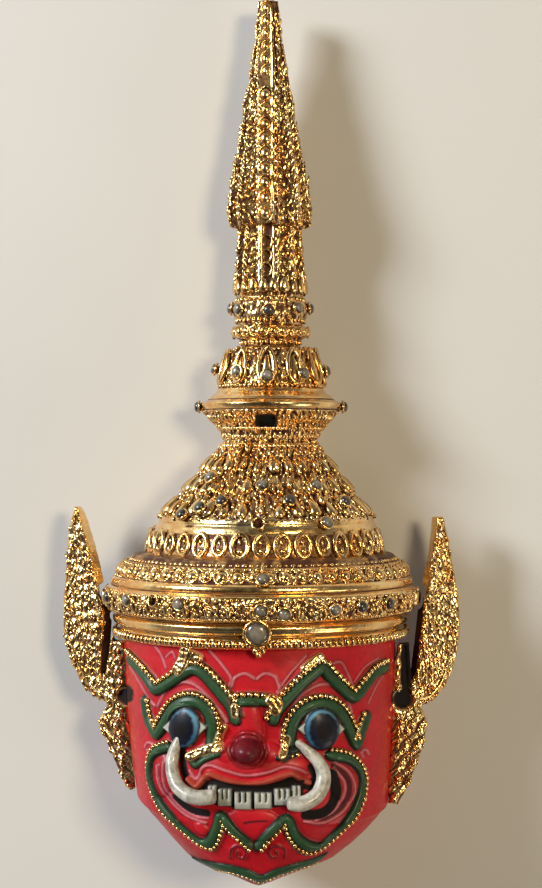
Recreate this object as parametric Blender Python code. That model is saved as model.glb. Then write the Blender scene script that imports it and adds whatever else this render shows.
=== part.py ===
"""A small moulded and gilded demon mask with a tall tiered crown, lying on its flat back.

+X is the viewer's right, +Y runs from the chin to the tip of the spire, +Z comes out of the face.
The origin is under the middle of the mask, on the plane of its flat back.
"""

import math

import bmesh
import bpy
import numpy as np
from mathutils import Matrix, Vector

# Driving dimensions, in metres and degrees
LENGTH = 0.150              # chin tip to spire tip
AXIS_HEIGHT = 0.0075        # crown axis above the flat back
WALL = 0.0022               # thickness of the moulded shell
FIT_GAP = 0.0003            # clearance between pieces that touch
CARVING_DEPTH = 1.0         # rise of the carving, as a share of what was measured

STONE_DIAMETER = 0.0019
STONE_HEIGHT = 0.0008
STONE_GIRDLE = 0.45         # height of the widest part, as a share of the stone's height
STONE_TABLE = 0.62          # width of the flat top, as a share of the stone's width
RIM_STONE_DIAMETER = 0.0036
SETTING_BORDER = 0.0004     # flat metal around a stone
SETTING_RISE = 0.00025      # top of a setting above the surface around it
SETTING_ROOT = 0.0012       # how deep a setting is rooted in the crown
LOST_STONE_DEPTH = 0.0009   # depth of an empty setting

RING_HOLE_WIDTH = 0.0034    # the lost square stone at the front of the wide ring
RING_HOLE_HEIGHT = 0.0021
RING_HOLE_DEPTH = 0.0016

EAR_THICKNESS = 0.0026
EAR_TURN = 25.0             # how far an ear plate is turned back from the front, degrees
EAR_INNER_HEIGHT = 0.0125   # front of the plate above the back plane, beside the head
EAR_EDGE = 0.0004           # width of the bevel round a plate's front

TUSK_ROOT_DIAMETER = 0.0026
TUSK_MIDDLE_DIAMETER = 0.0022
TUSK_TIP_DIAMETER = 0.0010
TUSK_STAND = 0.0009         # how far the middle of a tusk stands clear of the cheek

RIB_WIDTH = 0.0035          # the proud rib down each face of the spire
REDENT = 0.74               # corners of the spire, as a share of its half width

# The form is drawn on a mask 150 mm long; one unit is one millimetre of that drawing
DRAWN_LENGTH = 0.150
MM = 0.001
unit = MM * LENGTH / DRAWN_LENGTH

# The front picture: its pixel size at the crown axis, its centre, and how the mask is turned in it
PIXEL = 0.175
PICTURE_CENTRE = (271.0, 444.0)
PICTURE_TARGET = (1.75, -2.2)
PICTURE_DISTANCE = 315.0
PICTURE_REACH = (-45.0, 6.0)    # the mask lies between these distances of the crown axis, along the view
PICTURE_TURN = math.radians(3.0)

CHIN_Y = -75.0
RIM_Y = -35.6               # lower edge of the crown
RIM_STEP = 0.1              # the crown starts this far above the last ring of the face
UNDERSIDE_Y = -63.5         # where the slanting underside of the jaw meets the back plane
NECK_Y = 14.95              # foot of the spire

# Half width of the crown and spire against Y: a turned outline, so the same from every side
CROWN_PROFILE = (
    (-35.5, 24.6), (-35.2, 25.1), (-33.9, 25.1), (-33.3, 24.6), (-32.8, 25.7), (-31.7, 25.7), (-31.2, 25.0),
    (-30.7, 26.4), (-28.45, 27.2), (-26.9, 27.1), (-26.4, 26.3), (-25.1, 26.2), (-24.7, 25.4), (-23.2, 24.6),
    (-22.4, 23.5), (-21.3, 22.7), (-20.9, 20.6), (-18.0, 19.9), (-16.6, 19.1), (-14.8, 18.5), (-13.2, 16.9),
    (-7.8, 12.4), (-3.1, 8.7), (-1.85, 7.8), (0.15, 8.6), (2.2, 10.3), (3.6, 11.9), (4.9, 12.1), (5.7, 10.9),
    (6.8, 9.4), (8.0, 8.8), (10.9, 8.4), (13.9, 7.0), (14.95, 4.9),
)
HOLLOW_PROFILE = ((-37.4, 23.6), (-28.0, 25.2), (-20.0, 20.0), (-13.2, 16.0), (-8.5, 12.4))
SPIRE_PROFILE = (
    (13.4, 4.7), (14.95, 4.8), (16.0, 5.4), (16.6, 6.6), (17.9, 6.5), (18.5, 5.5), (19.4, 5.9), (20.0, 6.3),
    (22.4, 6.3), (23.2, 5.6), (24.0, 6.0), (25.45, 6.1), (28.3, 5.7), (34.55, 5.3), (35.6, 5.3), (35.9, 6.8),
    (38.9, 7.15), (39.2, 6.9), (42.7, 6.75), (43.0, 6.3), (46.5, 6.0), (46.8, 5.55), (53.15, 4.75),
    (53.5, 4.3),
    (57.2, 4.15), (60.1, 3.35), (65.35, 2.7), (68.2, 2.15), (75.0, 1.7),
)
ROUND_SPIRE_TOP = 24.0      # below this the spire is turned, above it square with redented corners
SQUARE_SPIRE_FOOT = 26.0

# The face below the crown: half width, depth in front of the axis, and corner exponent, against Y
FACE_WIDTH = (
    (-75.0, 0.5), (-74.4, 3.2), (-73.3, 5.8), (-72.3, 8.9), (-71.2, 11.9), (-69.2, 14.5), (-67.4, 16.8),
    (-65.7, 18.7), (-64.6, 19.8), (-64.1, 21.2), (-62.75, 21.4), (-54.0, 22.3), (-47.0, 23.1), (-38.0, 23.6),
)
FACE_DEPTH = (
    (-75.0, 18.2), (-74.6, 19.4), (-73.0, 21.2), (-68.0, 23.0), (-60.0, 24.2), (-55.0, 24.0), (-50.0, 23.2),
    (-45.0, 23.6), (-37.4, 23.3),
)
FACE_SQUARENESS = ((-75.0, 2.0), (-64.0, 2.5), (-50.0, 2.4), (-37.4, 2.2))
CHIN_CENTRE_RISE = 11.0     # the sections' centre moves forward by this from the jaw to the chin tip
UNDERSIDE_TIP_HEIGHT = 16.0
FACE_BACK_DEPTH = 24.0      # the sections reach behind the back plane, where they are cut off flat
UNDERSIDE_SQUARENESS = 5.0
HOLLOW_TOP_Y = -8.5         # the hollow reaches up into the cone as far as this
HOLLOW_CHIN_WALLS = 1.9     # and down to this many walls above the chin tip

# The crown leans a little to the viewer's right of the face
LEAN = (
    (-30.0, 0.0), (-22.0, 0.35), (-15.9, 0.88), (-1.5, 1.66), (4.3, 1.75), (30.0, 1.6), (75.0, 1.3),
)

UNROLL_RADIUS = 23.5        # widths round the face are measured along a cylinder of this radius

# Carved lines of the face, as front-picture pixels
BROW_LEFT = (
    (235.8, 719.4), (232, 701), (225, 693.6), (215.7, 681), (206, 669.7), (196.5, 663), (191, 659),
    (185, 670.6), (169.7, 680), (156.4, 688.8), (144.9, 671.6), (130.5, 657),
)
BROW_RIGHT = (
    (270.5, 723), (272.4, 712.7), (284, 701), (301, 681), (317.4, 665.8), (323, 660), (329, 673.5),
    (344, 687), (354.7, 696.4), (367, 679), (383.4, 664.9),
)
BROW_BAR = ((236, 700), (270, 701))
EYE_LEFT = (
    (211.8, 743.3), (211.8, 726), (210, 714.6), (204, 705), (195.6, 698.4), (186, 697.4), (177.4, 701),
    (171.7, 709), (166, 718.4), (157.3, 732.8), (151.6, 726), (147.7, 716.5), (144, 697.4),
)
EYE_RIGHT = (
    (291.6, 741.4), (293.5, 726), (300, 712.7), (309.7, 705), (322.2, 701.2), (332.7, 705), (341.3, 713.7),
    (346, 724.2), (355.7, 744.3), (363.3, 724.2), (366.2, 714.6),
)
LOWER_LID_LEFT = ((188.9, 754.8), (206, 751), (223, 746))
LOWER_LID_RIGHT = ((279, 754.8), (291.6, 750))
UPPER_LIP = (
    (190.4, 770), (196.5, 781), (210.6, 771), (220.6, 774), (240.8, 780), (252, 781), (265, 779), (280, 773),
    (290, 771), (300, 777), (306, 781),
)
TEETH = ((207, 795), (230, 799), (252, 800.5), (275, 799), (296, 794))
JAW_BAND_LEFT = (
    (167.8, 744.3), (154.4, 752), (151.6, 760.5), (152, 780), (160, 800.5), (172, 816.6), (186.4, 828.7),
    (202.5, 842.8), (210.6, 843.8), (217.6, 825.7), (220.6, 815.6), (234.7, 830.7), (251, 845.5),
)
JAW_BAND_RIGHT = (
    (260, 838.8), (270, 829.7), (286.3, 817.6), (294.3, 838.8), (312.4, 847.8), (324.5, 843.8),
    (335.6, 834.7), (345.7, 823.7), (354.7, 810.6), (359.8, 795.5), (360.8, 780.4), (355.7, 768.3),
    (345.7, 759.2), (327.5, 755.2),
)
CHIN_CURL_LEFT = ((232, 858), (238.8, 851.9), (246, 857))
CHIN_CURL_RIGHT = ((268, 859), (275.2, 853.9), (282, 858))
MOUTH_HOLLOW_LEFT = ((182, 747), (184, 768), (194, 787))
MOUTH_HOLLOW_RIGHT = ((330, 775), (333, 792), (328, 808), (306, 815))
MOUTH_HOLLOW_BELOW = ((181, 804), (194, 811), (207, 813))
TUSK_LEFT = (
    (205.5, 798), (192.4, 796), (180.4, 789.4), (173.3, 778.3), (172.3, 765.2), (174.3, 751), (178.3, 739),
)
TUSK_RIGHT = (
    (296, 800), (306.4, 802.5), (316.5, 796), (322.5, 784.4), (322.5, 770.3), (316.5, 758), (297.3, 742),
)

# Each carved line with its half width and rise
CARVED_LINES = (
    (BROW_LEFT, 1.2, 1.05), (BROW_RIGHT, 1.2, 1.05), (BROW_BAR, 1.3, 1.15), (EYE_LEFT, 0.85, 0.8),
    (EYE_RIGHT, 0.85, 0.8), (LOWER_LID_LEFT, 0.7, 0.8), (LOWER_LID_RIGHT, 0.7, 0.8), (UPPER_LIP, 0.85, 1.2),
    (TEETH, 1.45, 0.7), (JAW_BAND_LEFT, 1.2, 1.05), (JAW_BAND_RIGHT, 1.2, 1.05), (CHIN_CURL_LEFT, 0.7, 0.7),
    (CHIN_CURL_RIGHT, 0.7, 0.7),
)
SUNK_LINES = (
    (MOUTH_HOLLOW_LEFT, 0.7, 0.8), (MOUTH_HOLLOW_RIGHT, 0.9, 0.9), (MOUTH_HOLLOW_BELOW, 0.8, 0.8),
)
# Rounded forms of the face: centre in the picture, half width, half height, rise
ROUNDED_FORMS = (
    ((187.0, 724.5), 3.2, 3.4, 1.5),    # left eyeball
    ((321.2, 726.0), 3.4, 3.2, 1.5),    # right eyeball
    ((229.0, 752.0), 2.0, 1.7, 1.3),    # nostrils
    ((268.0, 752.0), 2.0, 1.7, 1.3),
    ((250.0, 728.0), 1.9, 5.0, 1.4),    # nose bridge
    ((160.0, 775.0), 3.0, 4.0, 0.9),    # cheeks
    ((345.0, 778.0), 3.0, 4.0, 0.9),
    ((252.0, 826.0), 4.5, 2.6, 0.9),    # lower lip
    ((252.0, 764.0), 8.5, 3.0, 1.0),    # muzzle
    ((248.5, 749.5), 2.6, 2.6, 4.3),    # nose ball
)

# Rows of carving round the crown: foot, height, count round the full circle, rise
PETAL_ROW = (-21.4, 4.2, 40, 0.7)
LEAF_ROWS = ((-15.4, 5.0, 22, 0.9), (-11.4, 4.6, 18, 0.9), (-7.6, 4.2, 14, 0.8))
DRUM_PETALS = (7.2, 6.6, 12, 0.9)

# Round stones still in place, in picture pixels
STONES = {
    "band": ((111, 596.5), (129.6, 599.6), (180.6, 603.7), (261, 610), (283.5, 613), (333.5, 609), (360, 606),
             (386.5, 603)),
    "upper_band": ((263, 581),),
    "cone": ((324.4, 523.8), (188, 516), (206, 509), (225, 502.6), (287.5, 501.5), (337.8, 503), (216, 479),
             (263, 487), (311, 487)),
    "ring": ((197, 407), (345, 407)),
    "drum": ((222, 370), (241, 372), (268, 376), (300, 374), (322, 372)),
    "collar": ((229, 309), (241, 309), (269, 310), (296, 308), (308, 309)),
}
RIM_STONE = (257, 633)
SLOPE_SPAN = 1.2            # a stone stands square to the crown as it runs over this much each way
SEAT_SPAN = 0.65            # and on the highest carving this near to its middle
LOST_STONES = ((155, 600.6), (258.5, 523.8))
RING_HOLE = (266, 421)
STONE_SIDES = 8

# Outlines of the ear ornaments, in picture pixels: outer edge from the tip down, then inner edge upwards
EAR_LEFT_OUTER = (
    (83, 508), (77, 507), (70, 540), (66, 575), (63, 600), (63.5, 632), (70, 665), (82, 688), (95, 700),
    (106, 704), (98, 722), (137, 796), (143, 797),
)
EAR_LEFT_INNER = (
    (149, 785), (131, 722), (131, 700), (130, 676), (129, 650), (127, 634), (122, 626), (116, 640),
    (113, 664), (109, 681), (105, 672), (108, 640), (110, 612), (107, 590), (102, 565), (95, 535),
)
EAR_RIGHT_OUTER = (
    (434, 518), (441, 517), (448, 545), (455, 575), (459, 600), (459, 640), (455, 670), (447, 690),
    (435, 703), (422, 707), (428, 725), (393, 804), (386, 803),
)
EAR_RIGHT_INNER = (
    (381, 785), (388, 724), (389, 705), (389, 690), (389, 664), (390, 640), (394, 628), (399, 640),
    (402, 664), (405, 684), (409, 672), (411, 640), (414, 600), (419, 575), (423, 555),
)
EAR_RELIEF_GAP = 0.45       # extra room between an ear plate and the raised ornament of the crown
FACET_ROOM = 0.12           # extra room for the facets of the head's plain sides

# How finely the shell is drawn before it is simplified
ROW_STEP = 0.5
FRONT_STEP = 1.4            # degrees
FINE_HALF = 100.0           # fine steps reach this far round from the front, degrees
CARVED_HALF = 97.0          # and the carving a little less far
BEHIND_STEPS = 14
SIMPLIFIED_SHARE = 0.09
HOLLOW_SIDES = 20
HOLLOW_ROWS = 9
HOLLOW_JAW_ROWS = 4
HOLLOW_STEP = 0.02
SETTING_SIDES = 6
CLEARANCE_SIDES = 60
CLEARANCE_BOTTOM_Y = -71.5  # the ear ornaments keep clear of the head between these heights
CLEARANCE_TOP_Y = -5.0

COLOURS = {
    "painted_gilt": ((0.62, 0.36, 0.10), 0.35, 0.9),
    "gilt": ((0.70, 0.44, 0.14), 0.32, 1.0),
    "ivory_paint": ((0.66, 0.64, 0.58), 0.4, 0.0),
    "glass_stone": ((0.30, 0.29, 0.27), 0.15, 0.0),
}


def table(points, y):
    """Read a hand-drawn outline at y, in drawn millimetres."""
    places, values = zip(*points)
    return np.interp(y, places, values)


def axis_height():
    return AXIS_HEIGHT / unit


def lean_at(y):
    return table(LEAN, y)


def section_centre(y):
    """Height of the sections' centre: on the crown axis, moving forward below the jaw."""
    down = np.clip((UNDERSIDE_Y - y) / (UNDERSIDE_Y - CHIN_Y), 0.0, 1.0)
    return axis_height() + CHIN_CENTRE_RISE * down * down * (3.0 - 2.0 * down)


def underside_foot(inset):
    """Y where the jaw's slanting underside, or its inner face a wall away, meets the back plane."""
    run = UNDERSIDE_Y - CHIN_Y
    return UNDERSIDE_Y + max(inset, 0.0) * math.hypot(run, UNDERSIDE_TIP_HEIGHT) / UNDERSIDE_TIP_HEIGHT


def underside_height(y, inset):
    """Height of the jaw's slanting underside, from the back plane up to the chin tip."""
    return UNDERSIDE_TIP_HEIGHT * (underside_foot(inset) - y) / (UNDERSIDE_Y - CHIN_Y)


def section(y, inset=0.0):
    """Half width, front and back depth, and front and back squareness of the section at y."""
    y = np.asarray(y, float)
    crown = y > RIM_Y
    jaw = y < underside_foot(inset)
    radius = table(CROWN_PROFILE if inset <= 0.0 else HOLLOW_PROFILE, y)
    centre = section_centre(y)
    width = np.where(crown, radius, table(FACE_WIDTH, y)) - inset
    front = np.where(crown, radius, table(FACE_DEPTH, y) - (centre - axis_height())) - inset
    face_back = np.where(jaw, centre - underside_height(y, inset), FACE_BACK_DEPTH)
    back = np.where(crown, radius - inset, face_back)
    square = np.where(crown, 2.0, table(FACE_SQUARENESS, y))
    square_back = np.where(jaw, UNDERSIDE_SQUARENESS, square)
    return width, front, back, square, square_back


def radius_at(angle, y, inset=0.0):
    """Distance of the plain surface from the sections' centre, at an angle from the front."""
    width, front, back, square, square_back = section(y, inset)
    side, ahead = np.abs(np.sin(angle)), np.cos(angle)
    depth = np.where(ahead > 0.0, front, back)
    power = np.where(ahead > 0.0, square, square_back)
    return ((side / width) ** power + (np.abs(ahead) / depth) ** power) ** (-1.0 / power)


def surface_point(angle, y, radius):
    x = lean_at(y) + radius * np.sin(angle)
    return np.stack([x, y + 0.0 * radius, section_centre(y) + radius * np.cos(angle)], -1)


def picture_ray(pixel):
    """The eye and the direction through a pixel of the front picture."""
    ahead = np.array([-math.sin(PICTURE_TURN), 0.0, -math.cos(PICTURE_TURN)])
    right = np.array([math.cos(PICTURE_TURN), 0.0, -math.sin(PICTURE_TURN)])
    up = np.array([0.0, 1.0, 0.0])
    target = np.array([0.0, PICTURE_TARGET[1], axis_height()]) + PICTURE_TARGET[0] * right
    across = (pixel[0] - PICTURE_CENTRE[0]) * PIXEL / PICTURE_DISTANCE
    along = (PICTURE_CENTRE[1] - pixel[1]) * PIXEL / PICTURE_DISTANCE
    return target - ahead * PICTURE_DISTANCE, ahead + right * across + up * along


def on_mask(pixel, radius_rule=radius_at):
    """Angle and Y of the point of the plain surface that a picture pixel shows."""
    eye, ray = picture_ray(pixel)
    steps = PICTURE_DISTANCE + np.linspace(*PICTURE_REACH, 1200)
    points = eye + steps[:, None] * ray
    across = points[:, 0] - lean_at(points[:, 1])
    ahead = points[:, 2] - section_centre(points[:, 1])
    angle = np.arctan2(across, ahead)
    outside = np.hypot(across, ahead) - radius_rule(angle, points[:, 1])
    inside = np.nonzero(outside < 0.0)[0]
    hit = inside[0] if len(inside) else int(np.argmin(outside))
    return angle[hit], points[hit, 1]


def on_plane(pixel, height):
    """The point that a picture pixel shows on a plane parallel to the back."""
    eye, ray = picture_ray(pixel)
    return eye + ray * (height - eye[2]) / ray[2]


def unrolled(pixels):
    return [(angle * UNROLL_RADIUS, y) for angle, y in (on_mask(pixel) for pixel in pixels)]


def distance_to_line(across, y, points):
    """Distance of each place from a line drawn on the unrolled face."""
    best = np.full(across.shape, 1e9)
    for (x0, y0), (x1, y1) in zip(points, points[1:]):
        dx, dy = x1 - x0, y1 - y0
        along = np.clip(((across - x0) * dx + (y - y0) * dy) / (dx * dx + dy * dy), 0.0, 1.0)
        best = np.minimum(best, np.hypot(across - x0 - along * dx, y - y0 - along * dy))
    return best


def rounded(share):
    """A rounded shoulder: 1 well inside, 0 outside."""
    share = np.clip(share, 0.0, 1.0)
    return share * share * (3.0 - 2.0 * share)


def dome(reach):
    """Height of a half sphere at a share of its radius."""
    return np.sqrt(np.clip(1.0 - reach * reach, 0.0, 1.0))


def face_relief(angle, y):
    """Rise of the face's carving: rounded forms, raised lines and sunk hollows."""
    across = angle * UNROLL_RADIUS
    rise = np.zeros(across.shape)
    for (pixel, half_width, half_height, top) in ROUNDED_FORMS:
        centre_angle, centre_y = on_mask(pixel)
        reach = np.hypot((across - centre_angle * UNROLL_RADIUS) / half_width, (y - centre_y) / half_height)
        rise = np.maximum(rise, top * dome(reach))
    for (pixels, half, top) in CARVED_LINES:
        away = distance_to_line(across, y, unrolled(pixels))
        rise = np.maximum(rise, top * rounded((half - away) / (0.5 * half) + 0.4))
    for (pixels, half, depth) in SUNK_LINES:
        away = distance_to_line(across, y, unrolled(pixels))
        rise = rise - depth * rounded((half - away) / half + 0.3)
    return rise


def pointed_row(angle, y, row, offset=0.0):
    """A row of upright pointed leaves round the crown."""
    foot, height, count, top = row
    pitch = 2.0 * math.pi / count
    place = (np.mod(angle / pitch + 0.5 + offset, 1.0) - 0.5) * 2.0
    up = (y - foot) / height
    half = 0.92 * np.sqrt(np.clip(1.0 - up, 0.0, 1.0))
    inside = (up > 0.0) & (up < 1.0) & (np.abs(place) < half)
    swell = 1.0 - 0.6 * np.abs(place) / np.maximum(half, 1e-6)
    return np.where(inside, top * swell * (0.55 + 0.45 * up), 0.0)


def crown_relief(angle, y):
    rise = pointed_row(angle, y, PETAL_ROW)
    for number, row in enumerate(LEAF_ROWS):
        rise = np.maximum(rise, pointed_row(angle, y, row, 0.5 * (number % 2)))
    return np.maximum(rise, pointed_row(angle, y, DRUM_PETALS))


def loft(name, rings):
    """A closed mesh through rings of points, each ring given in the same order."""
    mesh = bpy.data.meshes.new(name)
    work = bmesh.new()
    rows = [[work.verts.new(Vector(point) * unit) for point in ring] for ring in rings]
    count = len(rings[0])
    for low, high in zip(rows, rows[1:]):
        for k in range(count):
            after = (k + 1) % count
            work.faces.new((low[k], low[after], high[after], high[k]))
    work.faces.new(rows[0])
    work.faces.new(list(reversed(rows[-1])))
    bmesh.ops.recalc_face_normals(work, faces=work.faces)
    work.to_mesh(mesh)
    work.free()
    return mesh


def place(name, mesh, finish):
    """Put a finished mesh in the scene with its material."""
    thing = bpy.data.objects.new(name, mesh)
    bpy.context.collection.objects.link(thing)
    mesh.materials.clear()
    mesh.materials.append(finish)
    return thing


def guide(name, mesh):
    """A cutter or a filler that is used by a Boolean and isn't a piece itself."""
    thing = bpy.data.objects.new(name, mesh)
    bpy.context.collection.objects.link(thing)
    thing.display_type = "WIRE"
    thing.hide_render = True
    return thing


def boolean(thing, other, operation):
    modifier = thing.modifiers.new(other.name, "BOOLEAN")
    modifier.operation = operation
    modifier.object = other
    modifier.solver = "EXACT"


def material(name):
    colour, roughness, metallic = COLOURS[name]
    finish = bpy.data.materials.new(name)
    finish.use_nodes = True
    shader = finish.node_tree.nodes["Principled BSDF"]
    shader.inputs["Base Color"].default_value = (*colour, 1.0)
    shader.inputs["Roughness"].default_value = roughness
    shader.inputs["Metallic"].default_value = metallic
    return finish


def shell_rows():
    """Y of each ring of the face and crown, with the crown's lower edge kept sharp."""
    face = np.linspace(CHIN_Y, RIM_Y, int((RIM_Y - CHIN_Y) / ROW_STEP) + 1)
    crown_foot = RIM_Y + RIM_STEP
    crown = np.linspace(crown_foot, NECK_Y, int((NECK_Y - crown_foot) / ROW_STEP) + 1)
    return np.concatenate([face, crown])


def shell_angles():
    """Fine steps over the front half and coarse ones behind, where the shell is cut away."""
    half = math.radians(FINE_HALF)
    front = np.linspace(-half, half, int(2.0 * half / math.radians(FRONT_STEP)) + 1)
    behind = np.linspace(half, 2.0 * math.pi - half, BEHIND_STEPS)[1:-1]
    return np.concatenate([front, behind])


def shell_mesh():
    y = shell_rows()[:, None]
    angle = shell_angles()[None, :]
    angle = np.where(angle > math.pi, angle - 2.0 * math.pi, angle)
    y, angle = np.broadcast_arrays(y, angle)
    facing = np.abs(angle) < math.radians(CARVED_HALF)
    rise = np.where(y > RIM_Y, crown_relief(angle, y), face_relief(angle, y)) * CARVING_DEPTH
    radius = radius_at(angle, y) + np.where(facing, rise, 0.0)
    return loft("shell", surface_point(angle, y, radius).tolist())


def hollow_mesh():
    """The space inside the face and crown, open through the flat back."""
    wall = WALL / unit
    angles = np.linspace(-math.pi, math.pi, HOLLOW_SIDES, endpoint=False)
    foot = underside_foot(wall)
    jaw = np.linspace(CHIN_Y + HOLLOW_CHIN_WALLS * wall, foot - HOLLOW_STEP, HOLLOW_JAW_ROWS)
    levels = np.concatenate([jaw, np.linspace(foot + HOLLOW_STEP, HOLLOW_TOP_Y, HOLLOW_ROWS)])
    return loft("hollow", [surface_point(angles, y, radius_at(angles, y, wall)).tolist() for y in levels])


def box_mesh(name, low, high):
    """A box between two corners, in drawn millimetres."""
    mesh = bpy.data.meshes.new(name)
    work = bmesh.new()
    size = [h - l for l, h in zip(low, high)]
    middle = Vector([(l + h) / 2.0 for l, h in zip(low, high)])
    bmesh.ops.create_cube(work, size=1.0)
    for vertex in work.verts:
        vertex.co = (Vector([c * s for c, s in zip(vertex.co, size)]) + middle) * unit
    work.to_mesh(mesh)
    work.free()
    return mesh


def spire_ring(y):
    """Section of the spire: turned at its foot, square with redented corners above."""
    radius = float(table(SPIRE_PROFILE, y))
    rib = min(0.5 * RIB_WIDTH / unit, 0.62 * radius)
    corner = max(REDENT * radius, 1.02 * rib + 0.12)
    quarter = ((rib, radius), (rib, corner), (corner, corner), (corner, rib), (radius, rib))
    squareness = float(np.clip((y - ROUND_SPIRE_TOP) / (SQUARE_SPIRE_FOOT - ROUND_SPIRE_TOP), 0.0, 1.0))
    ring = []
    for turn in range(4):
        for step, (side, ahead) in enumerate(quarter):
            quarter_turn = math.radians(90.0 * turn)
            direction = quarter_turn + math.radians(90.0) * (step + 0.5) / len(quarter)
            c, s = math.cos(quarter_turn), math.sin(quarter_turn)
            square_x, square_z = c * side + s * ahead, -s * side + c * ahead
            x = (1.0 - squareness) * radius * math.sin(direction) + squareness * square_x
            z = (1.0 - squareness) * radius * math.cos(direction) + squareness * square_z
            ring.append((float(lean_at(y)) + x, y, axis_height() + z))
    return ring


def spire_mesh():
    rows = [y for y, _ in SPIRE_PROFILE] + [SQUARE_SPIRE_FOOT]
    return loft("spire", [spire_ring(y) for y in sorted(set(rows))])


def crown_place(pixel, on_spire=False):
    """Point and outward direction on the crown for a stone that a picture pixel shows."""
    profile = SPIRE_PROFILE if on_spire else CROWN_PROFILE
    angle, y = on_mask(pixel, lambda a, v: table(profile, v) + 0.0 * a)
    slope = (table(profile, y + SLOPE_SPAN) - table(profile, y - SLOPE_SPAN)) / (2.0 * SLOPE_SPAN)
    near = np.array([-SEAT_SPAN, 0.0, SEAT_SPAN])
    near_y = y + near[:, None]
    near_angle = angle + near[None, :] / table(profile, y)
    carved = 0.0 if on_spire else crown_relief(near_angle, near_y) * CARVING_DEPTH
    around = np.max(table(profile, near_y) + carved)
    point = surface_point(np.array(angle), np.array(y), np.array(around))
    normal = Vector((math.sin(angle), -slope, math.cos(angle))).normalized()
    return Vector(point.tolist()) * unit, normal


def turned_stone(name, spot, diameter, levels, sides=STONE_SIDES):
    """A small many-sided solid standing on the surface: (share of radius, height) from foot to top."""
    place_at, normal = spot
    mesh = bpy.data.meshes.new(name)
    work = bmesh.new()
    turn = normal.to_track_quat("Z", "Y").to_matrix().to_4x4()
    frame = Matrix.Translation(place_at) @ turn
    rings = []
    for share, height in levels:
        ring = []
        for k in range(sides):
            angle = 2.0 * math.pi * (k + 0.5) / sides
            radius = 0.5 * diameter * share
            point = Vector((radius * math.cos(angle), radius * math.sin(angle), height))
            ring.append(work.verts.new(frame @ point))
        rings.append(ring)
    for low, high in zip(rings, rings[1:]):
        for k in range(sides):
            after = (k + 1) % sides
            work.faces.new((low[k], low[after], high[after], high[k]))
    work.faces.new(list(reversed(rings[0])))
    work.faces.new(rings[-1])
    bmesh.ops.recalc_face_normals(work, faces=work.faces)
    work.to_mesh(mesh)
    work.free()
    return mesh


def setting_mesh(name, spot, diameter):
    outer = diameter + 2.0 * SETTING_BORDER
    return turned_stone(name, spot, outer, ((1.0, -SETTING_ROOT), (1.0, SETTING_RISE)), SETTING_SIDES)


def stone_mesh(name, spot, diameter):
    foot = SETTING_RISE + FIT_GAP
    girdle, top = foot + STONE_GIRDLE * STONE_HEIGHT, foot + STONE_HEIGHT
    return turned_stone(name, spot, diameter, ((1.0, foot), (1.0, girdle), (STONE_TABLE, top)))


def joined(name, meshes):
    """Several closed meshes as one, for a cutter or a filler made of separate parts."""
    work = bmesh.new()
    for mesh in meshes:
        work.from_mesh(mesh)
    whole = bpy.data.meshes.new(name)
    work.to_mesh(whole)
    work.free()
    return whole


def make_shell(finish, settings, lost):
    shell = place("mask_shell", shell_mesh(), finish)
    simplify = shell.modifiers.new("simplify", "DECIMATE")
    simplify.ratio = SIMPLIFIED_SHARE
    boolean(shell, guide("spire_form", spire_mesh()), "UNION")
    boolean(shell, guide("settings", joined("settings", settings)), "UNION")
    far = 0.6 * DRAWN_LENGTH / MM
    behind = box_mesh("behind", (-far, -far, -far), (far, far, 0.0))
    boolean(shell, guide("behind", behind), "DIFFERENCE")
    boolean(shell, guide("hollow", hollow_mesh()), "DIFFERENCE")
    boolean(shell, guide("lost_stones", joined("lost_stones", lost)), "DIFFERENCE")


def lost_stone_meshes():
    meshes = []
    for number, pixel in enumerate(LOST_STONES):
        levels = ((1.0, SETTING_RISE - LOST_STONE_DEPTH), (1.0, SETTING_RISE + STONE_HEIGHT))
        meshes.append(turned_stone(f"lost_{number}", crown_place(pixel), STONE_DIAMETER, levels))
    angle, y = on_mask(RING_HOLE)
    radius = float(table(CROWN_PROFILE, y))
    centre = surface_point(np.array(angle), np.array(y), np.array(radius))
    half = np.array([RING_HOLE_WIDTH, RING_HOLE_HEIGHT, 2.0 * RING_HOLE_DEPTH]) / unit / 2.0
    meshes.append(box_mesh("ring_hole", (centre - half).tolist(), (centre + half).tolist()))
    return meshes


def make_ear(name, outer, inner, side, finish):
    """An ear ornament: a cast plate turned back from the front, shaped to the side of the head."""
    turn = math.radians(EAR_TURN)
    thickness = EAR_THICKNESS / unit
    beside = table(FACE_WIDTH, RIM_Y)
    height = EAR_INNER_HEIGHT / unit
    normal = np.array([side * math.sin(turn), 0.0, math.cos(turn)])
    shown_edge = np.array([side * thickness * math.sin(turn), 0.0, 0.0])
    outline = [on_plane(pixel, height) for pixel in outer]
    outline += [on_plane(pixel, height) + shown_edge for pixel in inner]
    for point in outline:
        point[2] -= (abs(point[0]) - beside) * math.tan(turn)
    work = bmesh.new()
    back = [work.verts.new(Vector(point - normal * thickness) * unit) for point in outline]
    front = [work.verts.new(Vector(point) * unit) for point in outline]
    count = len(outline)
    for k in range(count):
        after = (k + 1) % count
        work.faces.new((back[k], back[after], front[after], front[k]))
    work.faces.new(back)
    face = work.faces.new(front)
    bmesh.ops.recalc_face_normals(work, faces=work.faces)
    bmesh.ops.inset_region(work, faces=[face], thickness=EAR_EDGE, depth=EAR_EDGE, use_even_offset=True)
    mesh = bpy.data.meshes.new(name)
    work.to_mesh(mesh)
    work.free()
    return place(name, mesh, finish)


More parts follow.
